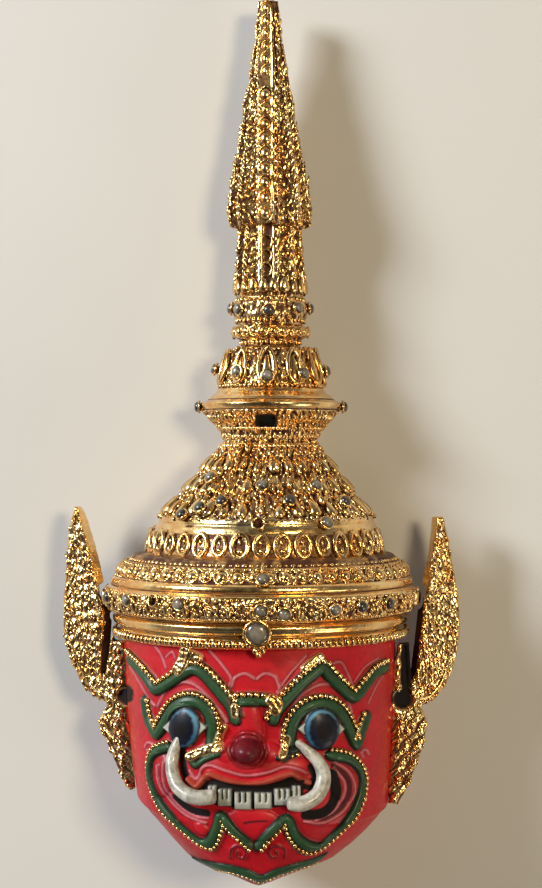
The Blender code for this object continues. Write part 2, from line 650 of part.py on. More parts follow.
def clearance_mesh():
    """The plain head grown by the gap that the ear ornaments keep to it."""
    angles = np.linspace(-math.pi, math.pi, CLEARANCE_SIDES, endpoint=False)
    rim, below = RIM_Y + RIM_STEP, RIM_Y - 2.0 * EAR_RELIEF_GAP
    drawn = [(y, y) for y, _ in FACE_WIDTH if CLEARANCE_BOTTOM_Y < y < below] + [(below, below)]
    drawn += [(RIM_Y - 1.5 * EAR_RELIEF_GAP, rim)]
    drawn += [(y, y) for y, _ in CROWN_PROFILE if rim < y < CLEARANCE_TOP_Y]
    rings = []
    for place_y, y in drawn:
        room = FIT_GAP / unit + (EAR_RELIEF_GAP if y >= rim else FACET_ROOM)
        rings.append(surface_point(angles, place_y, radius_at(angles, y, -room)).tolist())
    return loft("clearance", rings)


def make_tusk(name, pixels, finish):
    """A curved tusk swept along its line, standing clear of the cheek."""
    sides = 8
    gap = FIT_GAP / unit
    count = len(pixels)
    diameters = (TUSK_ROOT_DIAMETER, TUSK_MIDDLE_DIAMETER, TUSK_TIP_DIAMETER)
    centres, sizes = [], []
    for number, pixel in enumerate(pixels):
        share = number / (count - 1)
        size = 0.5 * np.interp(share, (0.0, 0.5, 1.0), diameters) / unit
        angle, y = on_mask(pixel)
        rise = float(face_relief(np.array([angle]), np.array([y]))[0]) * CARVING_DEPTH
        stand = size + gap + max(rise, 0.0) + TUSK_STAND / unit * math.sin(math.pi * min(share + 0.15, 1.0))
        centre = surface_point(np.array(angle), np.array(y), radius_at(angle, y) + stand)
        centres.append(Vector(centre.tolist()))
        sizes.append(size)
    rings = []
    for number, (centre, size) in enumerate(zip(centres, sizes)):
        before, after = centres[max(number - 1, 0)], centres[min(number + 1, count - 1)]
        along = (after - before).normalized()
        across = along.cross(Vector((0.0, 0.0, 1.0))).normalized()
        outward = across.cross(along)
        ring = []
        for k in range(sides):
            angle = 2.0 * math.pi * k / sides
            ring.append(tuple(centre + across * size * math.cos(angle) + outward * size * math.sin(angle)))
        rings.append(ring)
    return place(name, loft(name, rings), finish)


def main():
    for thing in list(bpy.data.objects):
        bpy.data.objects.remove(thing, do_unlink=True)
    painted, gilt = material("painted_gilt"), material("gilt")
    ivory, glass = material("ivory_paint"), material("glass_stone")

    settings = []
    for row, pixels in STONES.items():
        for number, pixel in enumerate(pixels, start=1):
            spot = crown_place(pixel, on_spire=row == "collar")
            name = f"stone_{row}_{number}"
            settings.append(setting_mesh(f"setting_{name}", spot, STONE_DIAMETER))
            place(name, stone_mesh(name, spot, STONE_DIAMETER), glass)
    spot = crown_place(RIM_STONE)
    settings.append(setting_mesh("setting_rim", spot, RIM_STONE_DIAMETER))
    place("stone_rim", stone_mesh("stone_rim", spot, RIM_STONE_DIAMETER), glass)
    for number, pixel in enumerate(LOST_STONES):
        settings.append(setting_mesh(f"setting_lost_{number}", crown_place(pixel), STONE_DIAMETER))

    make_shell(painted, settings, lost_stone_meshes())
    clearance = guide("clearance", clearance_mesh())
    for name, outer, inner, side in (
        ("ear_ornament_left", EAR_LEFT_OUTER, EAR_LEFT_INNER, -1.0),
        ("ear_ornament_right", EAR_RIGHT_OUTER, EAR_RIGHT_INNER, 1.0),
    ):
        boolean(make_ear(name, outer, inner, side, gilt), clearance, "DIFFERENCE")
    make_tusk("tusk_left", TUSK_LEFT, ivory)
    make_tusk("tusk_right", TUSK_RIGHT, ivory)


main()
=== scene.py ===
import math

import bmesh
import bpy
import numpy as np
from mathutils import Matrix, Vector


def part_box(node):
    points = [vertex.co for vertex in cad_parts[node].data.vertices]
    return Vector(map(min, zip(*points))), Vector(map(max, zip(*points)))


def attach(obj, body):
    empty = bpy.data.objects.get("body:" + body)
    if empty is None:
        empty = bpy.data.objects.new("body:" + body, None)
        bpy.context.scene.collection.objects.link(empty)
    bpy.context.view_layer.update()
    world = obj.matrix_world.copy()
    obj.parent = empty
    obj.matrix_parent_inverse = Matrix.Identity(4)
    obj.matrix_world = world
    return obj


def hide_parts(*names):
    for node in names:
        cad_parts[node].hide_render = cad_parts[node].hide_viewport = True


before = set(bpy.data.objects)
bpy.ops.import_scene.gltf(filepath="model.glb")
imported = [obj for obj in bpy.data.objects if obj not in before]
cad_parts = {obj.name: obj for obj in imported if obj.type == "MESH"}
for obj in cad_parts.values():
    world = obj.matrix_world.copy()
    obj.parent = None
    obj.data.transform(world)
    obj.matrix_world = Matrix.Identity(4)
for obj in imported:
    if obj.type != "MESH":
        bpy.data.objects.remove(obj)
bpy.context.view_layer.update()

# The form is drawn on a mask 150 mm long; unit is one millimetre of that drawing
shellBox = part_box("mask_shell")
unit = (shellBox[1].y - shellBox[0].y) / 150.0

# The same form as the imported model: half widths and depths against Y
form = {
    "axisHeight": 7.5,
    "wall": 2.2,
    "chinY": -75.0,
    "rimY": -35.6,
    "undersideY": -63.5,
    "chinCentreRise": 11.0,
    "undersideTipHeight": 16.0,
    "faceBackDepth": 24.0,
    "undersideSquareness": 5.0,
    "crown": (
        (-35.5, 24.6), (-35.2, 25.1), (-33.9, 25.1), (-33.3, 24.6), (-32.8, 25.7), (-31.7, 25.7),
        (-31.2, 25.0), (-30.7, 26.4), (-28.45, 27.2), (-26.9, 27.1), (-26.4, 26.3), (-25.1, 26.2),
        (-24.7, 25.4), (-23.2, 24.6), (-22.4, 23.5), (-21.3, 22.7), (-20.9, 20.6), (-18.0, 19.9),
        (-16.6, 19.1), (-14.8, 18.5), (-13.2, 16.9), (-7.8, 12.4), (-3.1, 8.7), (-1.85, 7.8), (0.15, 8.6),
        (2.2, 10.3), (3.6, 11.9), (4.9, 12.1), (5.7, 10.9), (6.8, 9.4), (8.0, 8.8), (10.9, 8.4),
        (13.9, 7.0), (14.95, 4.9),
    ),
    "hollow": ((-37.4, 23.6), (-28.0, 25.2), (-20.0, 20.0), (-13.2, 16.0), (-8.5, 12.4)),
    "hollowTopY": -8.5,
    "spire": (
        (13.4, 4.7), (14.95, 4.8), (16.0, 5.4), (16.6, 6.6), (17.9, 6.5), (18.5, 5.5), (19.4, 5.9),
        (20.0, 6.3), (22.4, 6.3), (23.2, 5.6), (24.0, 6.0), (25.45, 6.1), (28.3, 5.7), (34.55, 5.3),
        (35.6, 5.3), (35.9, 6.8), (38.9, 7.15), (39.2, 6.9), (42.7, 6.75), (43.0, 6.3), (46.5, 6.0),
        (46.8, 5.55), (53.15, 4.75), (53.5, 4.3), (57.2, 4.15), (60.1, 3.35), (65.35, 2.7), (68.2, 2.15),
        (75.0, 1.7),
    ),
    "faceWidth": (
        (-75.0, 0.5), (-74.4, 3.4), (-73.3, 6.5), (-72.3, 9.9), (-71.2, 13.0), (-69.2, 16.0), (-67.4, 18.3),
        (-65.7, 20.1), (-64.6, 21.0), (-64.1, 21.7), (-62.75, 21.9), (-54.0, 22.6), (-47.0, 23.1),
        (-38.0, 23.5),
    ),
    "faceDepth": (
        (-75.0, 18.2), (-74.6, 19.4), (-73.0, 21.2), (-68.0, 23.0), (-60.0, 24.2), (-55.0, 24.0),
        (-50.0, 23.2), (-45.0, 23.6), (-37.4, 23.3),
    ),
    "faceSquareness": ((-75.0, 2.0), (-64.0, 2.5), (-50.0, 2.4), (-37.4, 2.2)),
    "lean": (
        (-75.0, 0.7), (-62.0, 0.4), (-45.0, 0.0), (-30.0, 0.0), (-22.0, 0.35), (-15.9, 0.88), (-1.5, 1.66),
        (4.3, 1.75), (30.0, 1.6), (75.0, 1.3),
    ),
    "unrollRadius": 23.5,
    "leftCornerRaise": 2.3,
}

# The front view: size of a pixel at the crown axis, in drawn millimetres, and how the mask is turned
front = {
    "pixel": 0.175,
    "centre": (271.0, 444.0),
    "target": (1.75, -2.2),
    "distance": 315.0,
    "turn": math.radians(3.0),
    "reach": (-45.0, 6.0),
    "pictureHeight": 888,
    "sensor": 36.0,
}


def table(points, y):
    places, values = zip(*points)
    return np.interp(y, places, values)


def leanAt(y):
    return table(form["lean"], y)


def sectionCentre(y):
    down = np.clip((form["undersideY"] - y) / (form["undersideY"] - form["chinY"]), 0.0, 1.0)
    return form["axisHeight"] + form["chinCentreRise"] * down * down * (3.0 - 2.0 * down)


def undersideFoot(inset):
    tip = form["undersideTipHeight"]
    return form["undersideY"] + max(inset, 0.0) * math.hypot(form["undersideY"] - form["chinY"], tip) / tip


def section(y, inset=0.0):
    y = np.asarray(y, float)
    crown = y > form["rimY"]
    foot = undersideFoot(inset)
    jaw = y < foot
    radius = table(form["crown"] if inset <= 0.0 else form["hollow"], y)
    centre = sectionCentre(y)
    underside = form["undersideTipHeight"] * (foot - y) / (form["undersideY"] - form["chinY"])
    width = np.where(crown, radius, table(form["faceWidth"], y)) - inset
    ahead = np.where(crown, radius, table(form["faceDepth"], y) - (centre - form["axisHeight"])) - inset
    back = np.where(crown, radius - inset, np.where(jaw, centre - underside, form["faceBackDepth"]))
    square = np.where(crown, 2.0, table(form["faceSquareness"], y))
    width, ahead, back = (np.maximum(reach, 0.05) for reach in (width, ahead, back))
    return width, ahead, back, square, np.where(jaw, form["undersideSquareness"], square)


def radiusAt(angle, y, inset=0.0):
    width, ahead, back, square, squareBack = section(y, inset)
    side, along = np.abs(np.sin(angle)), np.cos(angle)
    depth = np.where(along > 0.0, ahead, back)
    power = np.where(along > 0.0, square, squareBack)
    return ((side / width) ** power + (np.abs(along) / depth) ** power) ** (-1.0 / power)


def cornerRaise(angle, y):
    # the left corner of the jaw sits a little higher than the right
    beside = np.clip(-np.sin(angle), 0.0, 1.0) ** 3
    return form["leftCornerRaise"] * beside * step(-55.0, -62.5, y) * step(-73.0, -66.5, y)


def surfacePoint(angle, y, radius):
    x = leanAt(y) + radius * np.sin(angle)
    z = sectionCentre(y) + radius * np.cos(angle)
    return np.stack([x, y + cornerRaise(angle, y) + 0.0 * radius, z], -1)


# Where the camera stands, in drawn millimetres
viewAhead = np.array([-math.sin(front["turn"]), 0.0, -math.cos(front["turn"])])
viewRight = np.array([math.cos(front["turn"]), 0.0, -math.sin(front["turn"])])
viewTarget = np.array([0.0, front["target"][1], form["axisHeight"]]) + front["target"][0] * viewRight
viewEye = viewTarget - viewAhead * front["distance"]


def pictureRay(pixel):
    across = (pixel[0] - front["centre"][0]) * front["pixel"] / front["distance"]
    along = (front["centre"][1] - pixel[1]) * front["pixel"] / front["distance"]
    return viewAhead + viewRight * across + np.array([0.0, 1.0, 0.0]) * along


def toPicture(points):
    # the pixel at which each point shows
    away = points - viewEye
    depth = away @ viewAhead
    scale = front["distance"] / front["pixel"] / depth
    return front["centre"][0] + (away @ viewRight) * scale, front["centre"][1] - away[..., 1] * scale


def onMask(pixel, radiusRule=radiusAt):
    ray = pictureRay(pixel)
    steps = front["distance"] + np.linspace(*front["reach"], 1200)
    points = viewEye + steps[:, None] * ray
    across = points[:, 0] - leanAt(points[:, 1])
    ahead = points[:, 2] - sectionCentre(points[:, 1])
    angle = np.arctan2(across, ahead)
    y = points[:, 1] - cornerRaise(angle, points[:, 1])
    outside = np.hypot(across, ahead) - radiusRule(angle, y)
    inside = np.nonzero(outside < 0.0)[0]
    hit = inside[0] if len(inside) else int(np.argmin(outside))
    return angle[hit], y[hit]


def onPlane(pixel, height):
    ray = pictureRay(pixel)
    return viewEye + ray * (height - viewEye[2]) / ray[2]


def smoothLine(pixels, parts=6):
    # a rounded line through a few given points
    points = np.array([pixels[0], *pixels, pixels[-1]], float)
    share = np.linspace(0.0, 1.0, parts, endpoint=False)[:, None]
    pieces = []
    for a, b, c, d in zip(points, points[1:], points[2:], points[3:]):
        pieces.append(0.5 * (2 * b + (c - a) * share + (2 * a - 5 * b + 4 * c - d) * share ** 2
                             + (3 * b - a - 3 * c + d) * share ** 3))
    return np.vstack([*pieces, points[-1:]])


# Repeatable unevenness

def hashed(i, j, seed):
    value = np.sin(i * 127.1 + j * 311.7 + seed * 74.7) * 43758.5453
    return value - np.floor(value)


def grains(u, v, wide, tall, seed, jitter=0.8):
    # distance to the nearest grain, in grains, and that grain's own number between 0 and 1
    x, y = u / wide, v / tall
    best = np.full(np.broadcast(x, y).shape, 9.0)
    tone = np.zeros(best.shape)
    for stepX in (-1, 0, 1):
        for stepY in (-1, 0, 1):
            i, j = np.floor(x) + stepX, np.floor(y) + stepY
            away = np.hypot(x - i - 0.5 - jitter * (hashed(i, j, seed) - 0.5),
                            y - j - 0.5 - jitter * (hashed(i, j, seed + 1) - 0.5))
            nearer = away < best
            best = np.where(nearer, away, best)
            tone = np.where(nearer, hashed(i, j, seed + 2), tone)
    return best, tone


def rolling(u, v, size, seed):
    # soft hills between 0 and 1
    x, y = u / size, v / size
    i, j = np.floor(x), np.floor(y)
    fx, fy = x - i, y - j
    fx, fy = fx * fx * (3 - 2 * fx), fy * fy * (3 - 2 * fy)
    low = hashed(i, j, seed) * (1 - fx) + hashed(i + 1, j, seed) * fx
    high = hashed(i, j + 1, seed) * (1 - fx) + hashed(i + 1, j + 1, seed) * fx
    return low * (1 - fy) + high * fy


def step(low, high, value):
    share = np.clip((value - low) / (high - low), 0.0, 1.0)
    return share * share * (3.0 - 2.0 * share)


def unitWays(ways):
    return ways / np.linalg.norm(ways, axis=-1, keepdims=True)


def dome(reach):
    return np.sqrt(np.clip(1.0 - reach * reach, 0.0, 1.0))


# Turning grids of points into closed meshes

mergeGrid = 1e-3
nearly = 1e-6


def edgeLoop(rows, columns, openFrom, closedTop, offset):
    # the open edge of a grid: along its foot, up its right side, along its top and down its left side
    at = np.arange(rows * columns).reshape(rows, columns) + offset
    foot = at[0] if openFrom == 0 else at[openFrom - 1, :1]
    top = [] if closedTop else at[-1, ::-1][1:-1]
    return np.concatenate([foot, at[openFrom:, -1][1 if openFrom == 0 else 0:], top,
                           at[openFrom:, 0][::-1][:-1 if openFrom == 0 else None]]).astype(int)


def zipLoops(points, loopA, loopB):
    # triangles between two closed edges that start at matching corners
    a, b, faces = 0, 0, []
    countA, countB = len(loopA), len(loopB)
    while a < countA or b < countB:
        nowA, nextA = loopA[a % countA], loopA[(a + 1) % countA]
        nowB, nextB = loopB[b % countB], loopB[(b + 1) % countB]
        stepA = np.linalg.norm(points[nextA] - points[nowB]) if a < countA else 1e9
        stepB = np.linalg.norm(points[nextB] - points[nowA]) if b < countB else 1e9
        if stepA <= stepB:
            faces.append((nowA, nextA, nowB))
            a += 1
        else:
            faces.append((nowA, nextB, nowB))
            b += 1
    return faces


def gridFaces(rows, columns, offset=0):
    at = np.arange(rows * columns).reshape(rows, columns) + offset
    return np.stack([at[:-1, :-1], at[:-1, 1:], at[1:, 1:], at[1:, :-1]], -1).reshape(-1, 4).tolist()


def ringFaces(count, around):
    # the rings of a tube, each with the same number of points, and the faces between them
    at = np.arange(count).reshape(-1, around)
    after = np.roll(at, -1, axis=1)
    return at, np.stack([at[:-1], after[:-1], after[1:], at[1:]], -1).reshape(-1, 4).tolist()


def linked(name, data):
    thing = bpy.data.objects.new(name, data)
    bpy.context.collection.objects.link(thing)
    return thing


def meshPiece(name, points, faces, values, material):
    # merge points that meet, drop what collapses, and keep a value of each kind at every point
    _, first, merged = np.unique(np.round(points / mergeGrid).astype(np.int64), axis=0,
                                 return_index=True, return_inverse=True)
    merged = merged.reshape(-1)
    clean = []
    for face in faces:
        ring = []
        for corner in face:
            corner = int(merged[corner])
            if not ring or (corner != ring[-1] and corner != ring[0]):
                ring.append(corner)
        if len(set(ring)) == len(ring) > 2:
            clean.append(ring)
    mesh = bpy.data.meshes.new(name)
    mesh.from_pydata((points[first] * unit).tolist(), [], clean)
    work = bmesh.new()
    work.from_mesh(mesh)
    bmesh.ops.recalc_face_normals(work, faces=work.faces)
    work.to_mesh(mesh)
    work.free()
    for key, value in values.items():
        value = np.asarray(value, np.float32)[first]
        if value.ndim == 2:
            alpha = np.ones((len(value), 1), np.float32)
            layer = mesh.attributes.new(key, "FLOAT_COLOR", "POINT")
            layer.data.foreach_set("color", np.hstack([value, alpha]).ravel())
        else:
            mesh.attributes.new(key, "FLOAT", "POINT").data.foreach_set("value", value)
    mesh.shade_smooth()
    mesh.materials.append(material)
    return linked(name, mesh)


def openAngle(y, inset, radiusRule):
    # how far round each row reaches before it meets the flat back
    angle = np.linspace(0.4 * math.pi, math.pi, 2400)
    row = np.asarray(y)[:, None]
    height = sectionCentre(row) + radiusRule(angle[None, :], row, inset) * np.cos(angle[None, :])
    below = height < 0.0
    first = np.argmax(below, axis=1)
    before = np.maximum(first - 1, 0)
    index = np.arange(len(first))
    share = height[index, before] / np.maximum(height[index, before] - height[index, first], 1e-9)
    found = angle[before] + share * (angle[first] - angle[before])
    return np.where(below.any(axis=1), found, math.pi)


def wrapAngles(y, columns, sideColumns, inset, radiusRule, fineHalf):
    # even columns over the front, and a few that follow the sides to the back
    reach = openAngle(y, inset, radiusRule)[:, None]
    half = math.radians(fineHalf)
    fine = np.linspace(-half, half, columns)[None, :] + 0.0 * reach
    share = np.linspace(0.0, 1.0, sideColumns + 1)[None, 1:]
    right = half + (reach - half) * share
    return np.hstack([-right[:, ::-1], fine, right])


def innerWall(hollow, offset):
    # points and faces of the wall round the hollow, numbered from offset, and its open edge
    y = np.asarray(hollow["y"], float)
    angle = wrapAngles(y, hollow["columns"], 3, form["wall"], radiusAt, 90.0)
    row = np.broadcast_to(y[:, None], angle.shape)
    points = surfacePoint(angle, row, radiusAt(angle, row, form["wall"]))
    points[..., 2] = np.maximum(points[..., 2], 0.0)
    rows, width = angle.shape
    faces = [face[::-1] for face in gridFaces(rows, width, offset)]
    closed = int(np.argmax(openAngle(y, form["wall"], radiusAt) < math.pi - nearly))
    if closed > 0:
        faces.append(list(range(offset, offset + width)))
    if hollow["closedTop"]:
        faces.append(list(range(offset + (rows - 1) * width, offset + rows * width)))
    return points.reshape(-1, 3), faces, edgeLoop(rows, width, closed, hollow["closedTop"], offset)


def wrapShell(name, y, columns, sideColumns, fineHalf, dress, material, hollow=None, closedTop=True,
              radiusRule=radiusAt):
    # the outside is dressed with relief; the back is cut flat and, where it is hollow, has an inner wall
    y = np.asarray(y, float)
    angle = wrapAngles(y, columns, sideColumns, 0.0, radiusRule, fineHalf)
    row = np.broadcast_to(y[:, None], angle.shape)
    plain = radiusRule(angle, row, 0.0)
    rise, values = dress(angle, row, plain)
    outer = surfacePoint(angle, row, plain + rise)
    reach = openAngle(y, 0.0, radiusRule)
    atBack = (np.abs(angle) >= reach[:, None] - nearly) & (outer[..., 2] < 0.5)
    outer[..., 2] = np.where(atBack, 0.0, np.maximum(outer[..., 2], 0.0))
    rows, width = angle.shape
    points = outer.reshape(-1, 3)
    values = {key: np.reshape(value, (rows * width, *np.shape(value)[2:])) for key, value in values.items()}
    faces = gridFaces(rows, width)
    closed = int(np.argmax(reach < math.pi - nearly))
    if closedTop or hollow is None:
        faces.append(list(range((rows - 1) * width, rows * width)))
    if closed > 0 or hollow is None:
        faces.append(list(range(width))[::-1])
    if hollow is None:
        for k in range(rows - 1):
            faces.append((k * width, (k + 1) * width, (k + 2) * width - 1, (k + 1) * width - 1))
    else:
        inside, insideFaces, insideEdge = innerWall(hollow, len(points))
        points = np.vstack([points, inside])
        faces += insideFaces + zipLoops(points, edgeLoop(rows, width, closed, closedTop, 0), insideEdge)
        # the inside is bare resin
        for key, value in values.items():
            filler = np.full((len(inside), *value.shape[1:]), 1.0 if key == "bare" else 0.0)
            values[key] = np.concatenate([value, filler])
    return meshPiece(name, points, faces, values, material)


# Shader arithmetic

class Wire:
    # one socket of a material's nodes; sums and products on it add Math nodes
    def __init__(self, tree, socket=None):
        self.tree = tree
        self.socket = socket

    def node(self, kind, settings=None, inputs=None, output=0):
        made = self.tree.nodes.new(kind)
        for key, value in (settings or {}).items():
            setattr(made, key, value)
        for key, value in (inputs or {}).items():
            if isinstance(value, Wire):
                self.tree.links.new(value.socket, made.inputs[key])
            else:
                made.inputs[key].default_value = value
        return Wire(self.tree, made.outputs[output])

    def math(self, operation, first, second=0.0):
        return self.node("ShaderNodeMath", {"operation": operation}, {0: first, 1: second})

    def __add__(self, other):
        return self.math("ADD", self, other)

    __radd__ = __add__

    def __sub__(self, other):
        return self.math("SUBTRACT", self, other)

    def __rsub__(self, other):
        return self.math("SUBTRACT", other, self)

    def __mul__(self, other):
        return self.math("MULTIPLY", self, other)

    __rmul__ = __mul__

    def clipped(self):
        return self.node("ShaderNodeClamp", None, {"Value": self})

    def between(self, low, high):
        # 0 below low, 1 above high, smooth between
        return self.node("ShaderNodeMapRange", {"interpolation_type": "SMOOTHSTEP"},
                         {"Value": self, "From Min": low, "From Max": high})

    def mix(self, colourA, colourB):
        return self.node("ShaderNodeMix", {"data_type": "RGBA"}, {0: self, 6: colourA, 7: colourB}, 2)


def attribute(wire, name, output="Fac"):
    return wire.node("ShaderNodeAttribute", {"attribute_name": name}, None, output)


def noise(wire, place, scale, detail=2.0):
    return wire.node("ShaderNodeTexNoise", None, {"Vector": place, "Scale": scale, "Detail": detail}, "Fac")


def linear(red, green, blue):
    return tuple(((c / 255.0 + 0.055) / 1.055) ** 2.4 if c > 10 else c / 255.0 / 12.92
                 for c in (red, green, blue))


def opaque(colour, brightness=1.0):
    return (*[c * brightness for c in colour], 1.0)


def startMaterial(name, fixed):
    material = bpy.data.materials.new(name)
    material.use_nodes = True
    tree = material.node_tree
    shader = tree.nodes["Principled BSDF"]
    for key, value in fixed.items():
        shader.inputs[key].default_value = value
    wire = Wire(tree)
    place = wire.node("ShaderNodeTexCoord", None, None, "Object")
    return material, wire, place, shader


def bumpInto(wire, shader, height, strength, distance):
    normal = wire.node("ShaderNodeBump", None,
                       {"Height": height, "Strength": strength, "Distance": distance})
    wire.tree.links.new(normal.socket, shader.inputs["Normal"])


def drive(wire, shader, **links):
    names = {"colour": "Base Color", "roughness": "Roughness", "metallic": "Metallic",
             "coat": "Coat Weight"}
    for key, value in links.items():
        wire.tree.links.new(value.socket, shader.inputs[names[key]])


giltLook = {
    "bright": (1.0, 0.74, 0.34),
    "deep": (0.84, 0.42, 0.10),
    "patina": (0.085, 0.024, 0.008),
    "resin": (0.10, 0.036, 0.020),
    "paleResin": 1.9,
    "unlit": (0.005, 0.003, 0.003),
    "roughness": 0.22,
    "coat": 0.5,
    "leafWrinkles": 0.00009,
    "patchScale": 160.0,
    "speckScale": 900.0,
    "wrinkleScale": 1500.0,
}


def giltNodes(wire, place):
    # thin gold leaf: bright on what stands proud, red-brown size and dirt in the hollows; where the cavity
    # attribute holds shade, the same dark mix is painted shade
    look = giltLook
    broad = noise(wire, place, look["patchScale"])
    fine = noise(wire, place, look["speckScale"], 3.0)
    hollow = attribute(wire, "cavity")
    worn = (hollow + (fine - 0.5) * 0.5 + (broad - 0.5) * 0.4).between(0.36, 0.74)
    leaf = (broad * 0.6 + fine * 0.5).between(0.35, 0.75).mix(opaque(look["deep"]), opaque(look["bright"]))
    colour = worn.mix(leaf, opaque(look["patina"]))
    roughness = worn * 0.32 + (fine * 0.16 + (look["roughness"] - 0.06))
    metallic = 1.0 - worn * 0.55
    wrinkles = noise(wire, place, look["wrinkleScale"], 3.0) * 0.6 + fine
    return colour, roughness, metallic, wrinkles


def bareResin(cloud):
    return cloud.mix(opaque(giltLook["resin"]), opaque(giltLook["resin"], giltLook["paleResin"]))


def giltMaterial(name):
    material, wire, place, shader = startMaterial(name, {"Coat Roughness": 0.12})
    colour, roughness, metallic, wrinkles = giltNodes(wire, place)
    bare, hollow = attribute(wire, "bare"), attribute(wire, "cavity")
    resin = bareResin(noise(wire, place, 300.0, 4.0))
    # bare resin, and the walls, hole and slits marked unlit, turn near black where the cavity is deep:
    # painted shade
    unlit = (bare * hollow).between(0.55, 0.95)
    drive(wire, shader, colour=unlit.mix(bare.mix(colour, resin), opaque(giltLook["unlit"])),
          roughness=roughness + bare * 0.4, metallic=metallic * (1.0 - bare),
          coat=(1.0 - hollow).clipped() * (1.0 - bare) * giltLook["coat"])
    bumpInto(wire, shader, wrinkles, 0.55, giltLook["leafWrinkles"])
    return material


paintLook = {
    "worn": (0.62, 0.55, 0.58),
    "hollowShade": (0.006, 0.003, 0.003),
    "roughness": 0.34,
    "coat": 0.14,
    "brushMarks": 0.00006,
    "patchScale": 220.0,
    "speckScale": 1300.0,
}


def paintMaterial(name):
    # brushed enamel over the moulded face, with gold leaf where the gilt attribute says so
    look = paintLook
    material, wire, place, shader = startMaterial(name, {"Specular IOR Level": 0.22, "Coat Roughness": 0.22})
    leaf, leafRoughness, leafMetallic, wrinkles = giltNodes(wire, place)
    paint = attribute(wire, "paint", "Color")
    gilded, bare, hollow = (attribute(wire, key) for key in ("gilt", "bare", "cavity"))
    broad = noise(wire, place, look["patchScale"], 3.0)
    fine = noise(wire, place, look["speckScale"], 3.0)
    shade = (broad * 0.5 + fine * 0.5).between(0.3, 0.7)
    darker = wire.node("ShaderNodeMix", {"data_type": "RGBA", "blend_type": "MULTIPLY"},
                       {0: 1.0, 6: paint, 7: opaque(look["worn"])}, 2)
    painted = (shade * 0.7).mix(paint, darker)
    # the face's cavity, how deep in shade each place is, darkens the paint towards near black: painted shade
    shadedInHollows = (hollow * 0.85).clipped().mix(painted, opaque(look["hollowShade"]))
    enamelRoughness = fine * 0.2 + hollow * 0.3 + look["roughness"]
    drive(wire, shader, colour=bare.mix(gilded.mix(shadedInHollows, leaf), bareResin(broad)),
          metallic=gilded * leafMetallic,
          roughness=enamelRoughness * (1.0 - gilded) + gilded * leafRoughness + bare * 0.3,
          coat=(1.0 - hollow).clipped() * (1.0 - bare) * look["coat"])
    bumpInto(wire, shader, wrinkles, 0.35, look["brushMarks"])
    return material


tuskLook = {
    "dull": linear(146, 142, 130),
    "pale": linear(196, 193, 182),
    "stain": linear(104, 92, 72),
    "roughness": 0.28,
    "unevenness": 0.0001,
}


def tuskMaterial(name):
    look = tuskLook
    material, wire, place, shader = startMaterial(name, {"Coat Weight": 0.3, "Coat Roughness": 0.15})
    along = attribute(wire, "along")
    broad = noise(wire, place, 500.0, 4.0)
    fine = noise(wire, place, 2200.0, 3.0)
    body = broad.between(0.35, 0.65).mix(opaque(look["dull"]), opaque(look["pale"]))
    stained = ((fine + along * 0.12).between(0.55, 0.8) * 0.5).mix(body, opaque(look["stain"]))
    drive(wire, shader, colour=stained, roughness=fine * 0.25 + look["roughness"])
    bumpInto(wire, shader, broad * 0.7 + fine * 0.3, 0.4, look["unevenness"])
    return material


stoneLook = {
    "deep": linear(52, 42, 34),
    "pale": linear(138, 130, 114),
    "dark": linear(38, 27, 22),
    "roughness": 0.12,
    "scratches": 0.00008,
}


def stoneMaterial(name):
    # dull backed glass, cloudy and dark round its foot
    look = stoneLook
    glass = {"IOR": 1.5, "Coat Weight": 0.6, "Coat Roughness": 0.06}
    material, wire, place, shader = startMaterial(name, glass)
    cloud = noise(wire, place, 700.0, 3.0)
    crown = attribute(wire, "along")
    pale = (cloud * 0.6 + crown * 0.5).between(0.3, 0.9).mix(opaque(look["deep"]), opaque(look["pale"]))
    body = (attribute(wire, "dark") * 0.8).mix(pale, opaque(look["dark"]))
    drive(wire, shader, colour=body, roughness=cloud * 0.3 + look["roughness"])
    bumpInto(wire, shader, cloud, 0.2, look["scratches"])
    return material


giltShader = giltMaterial("gold_leaf")
paintShader = paintMaterial("painted_face")
tuskShader = tuskMaterial("tusk_enamel")
stoneShader = stoneMaterial("set_glass")
print("materials made")

# The painted and carved face; lines are set in picture pixels, widths in drawn millimetres

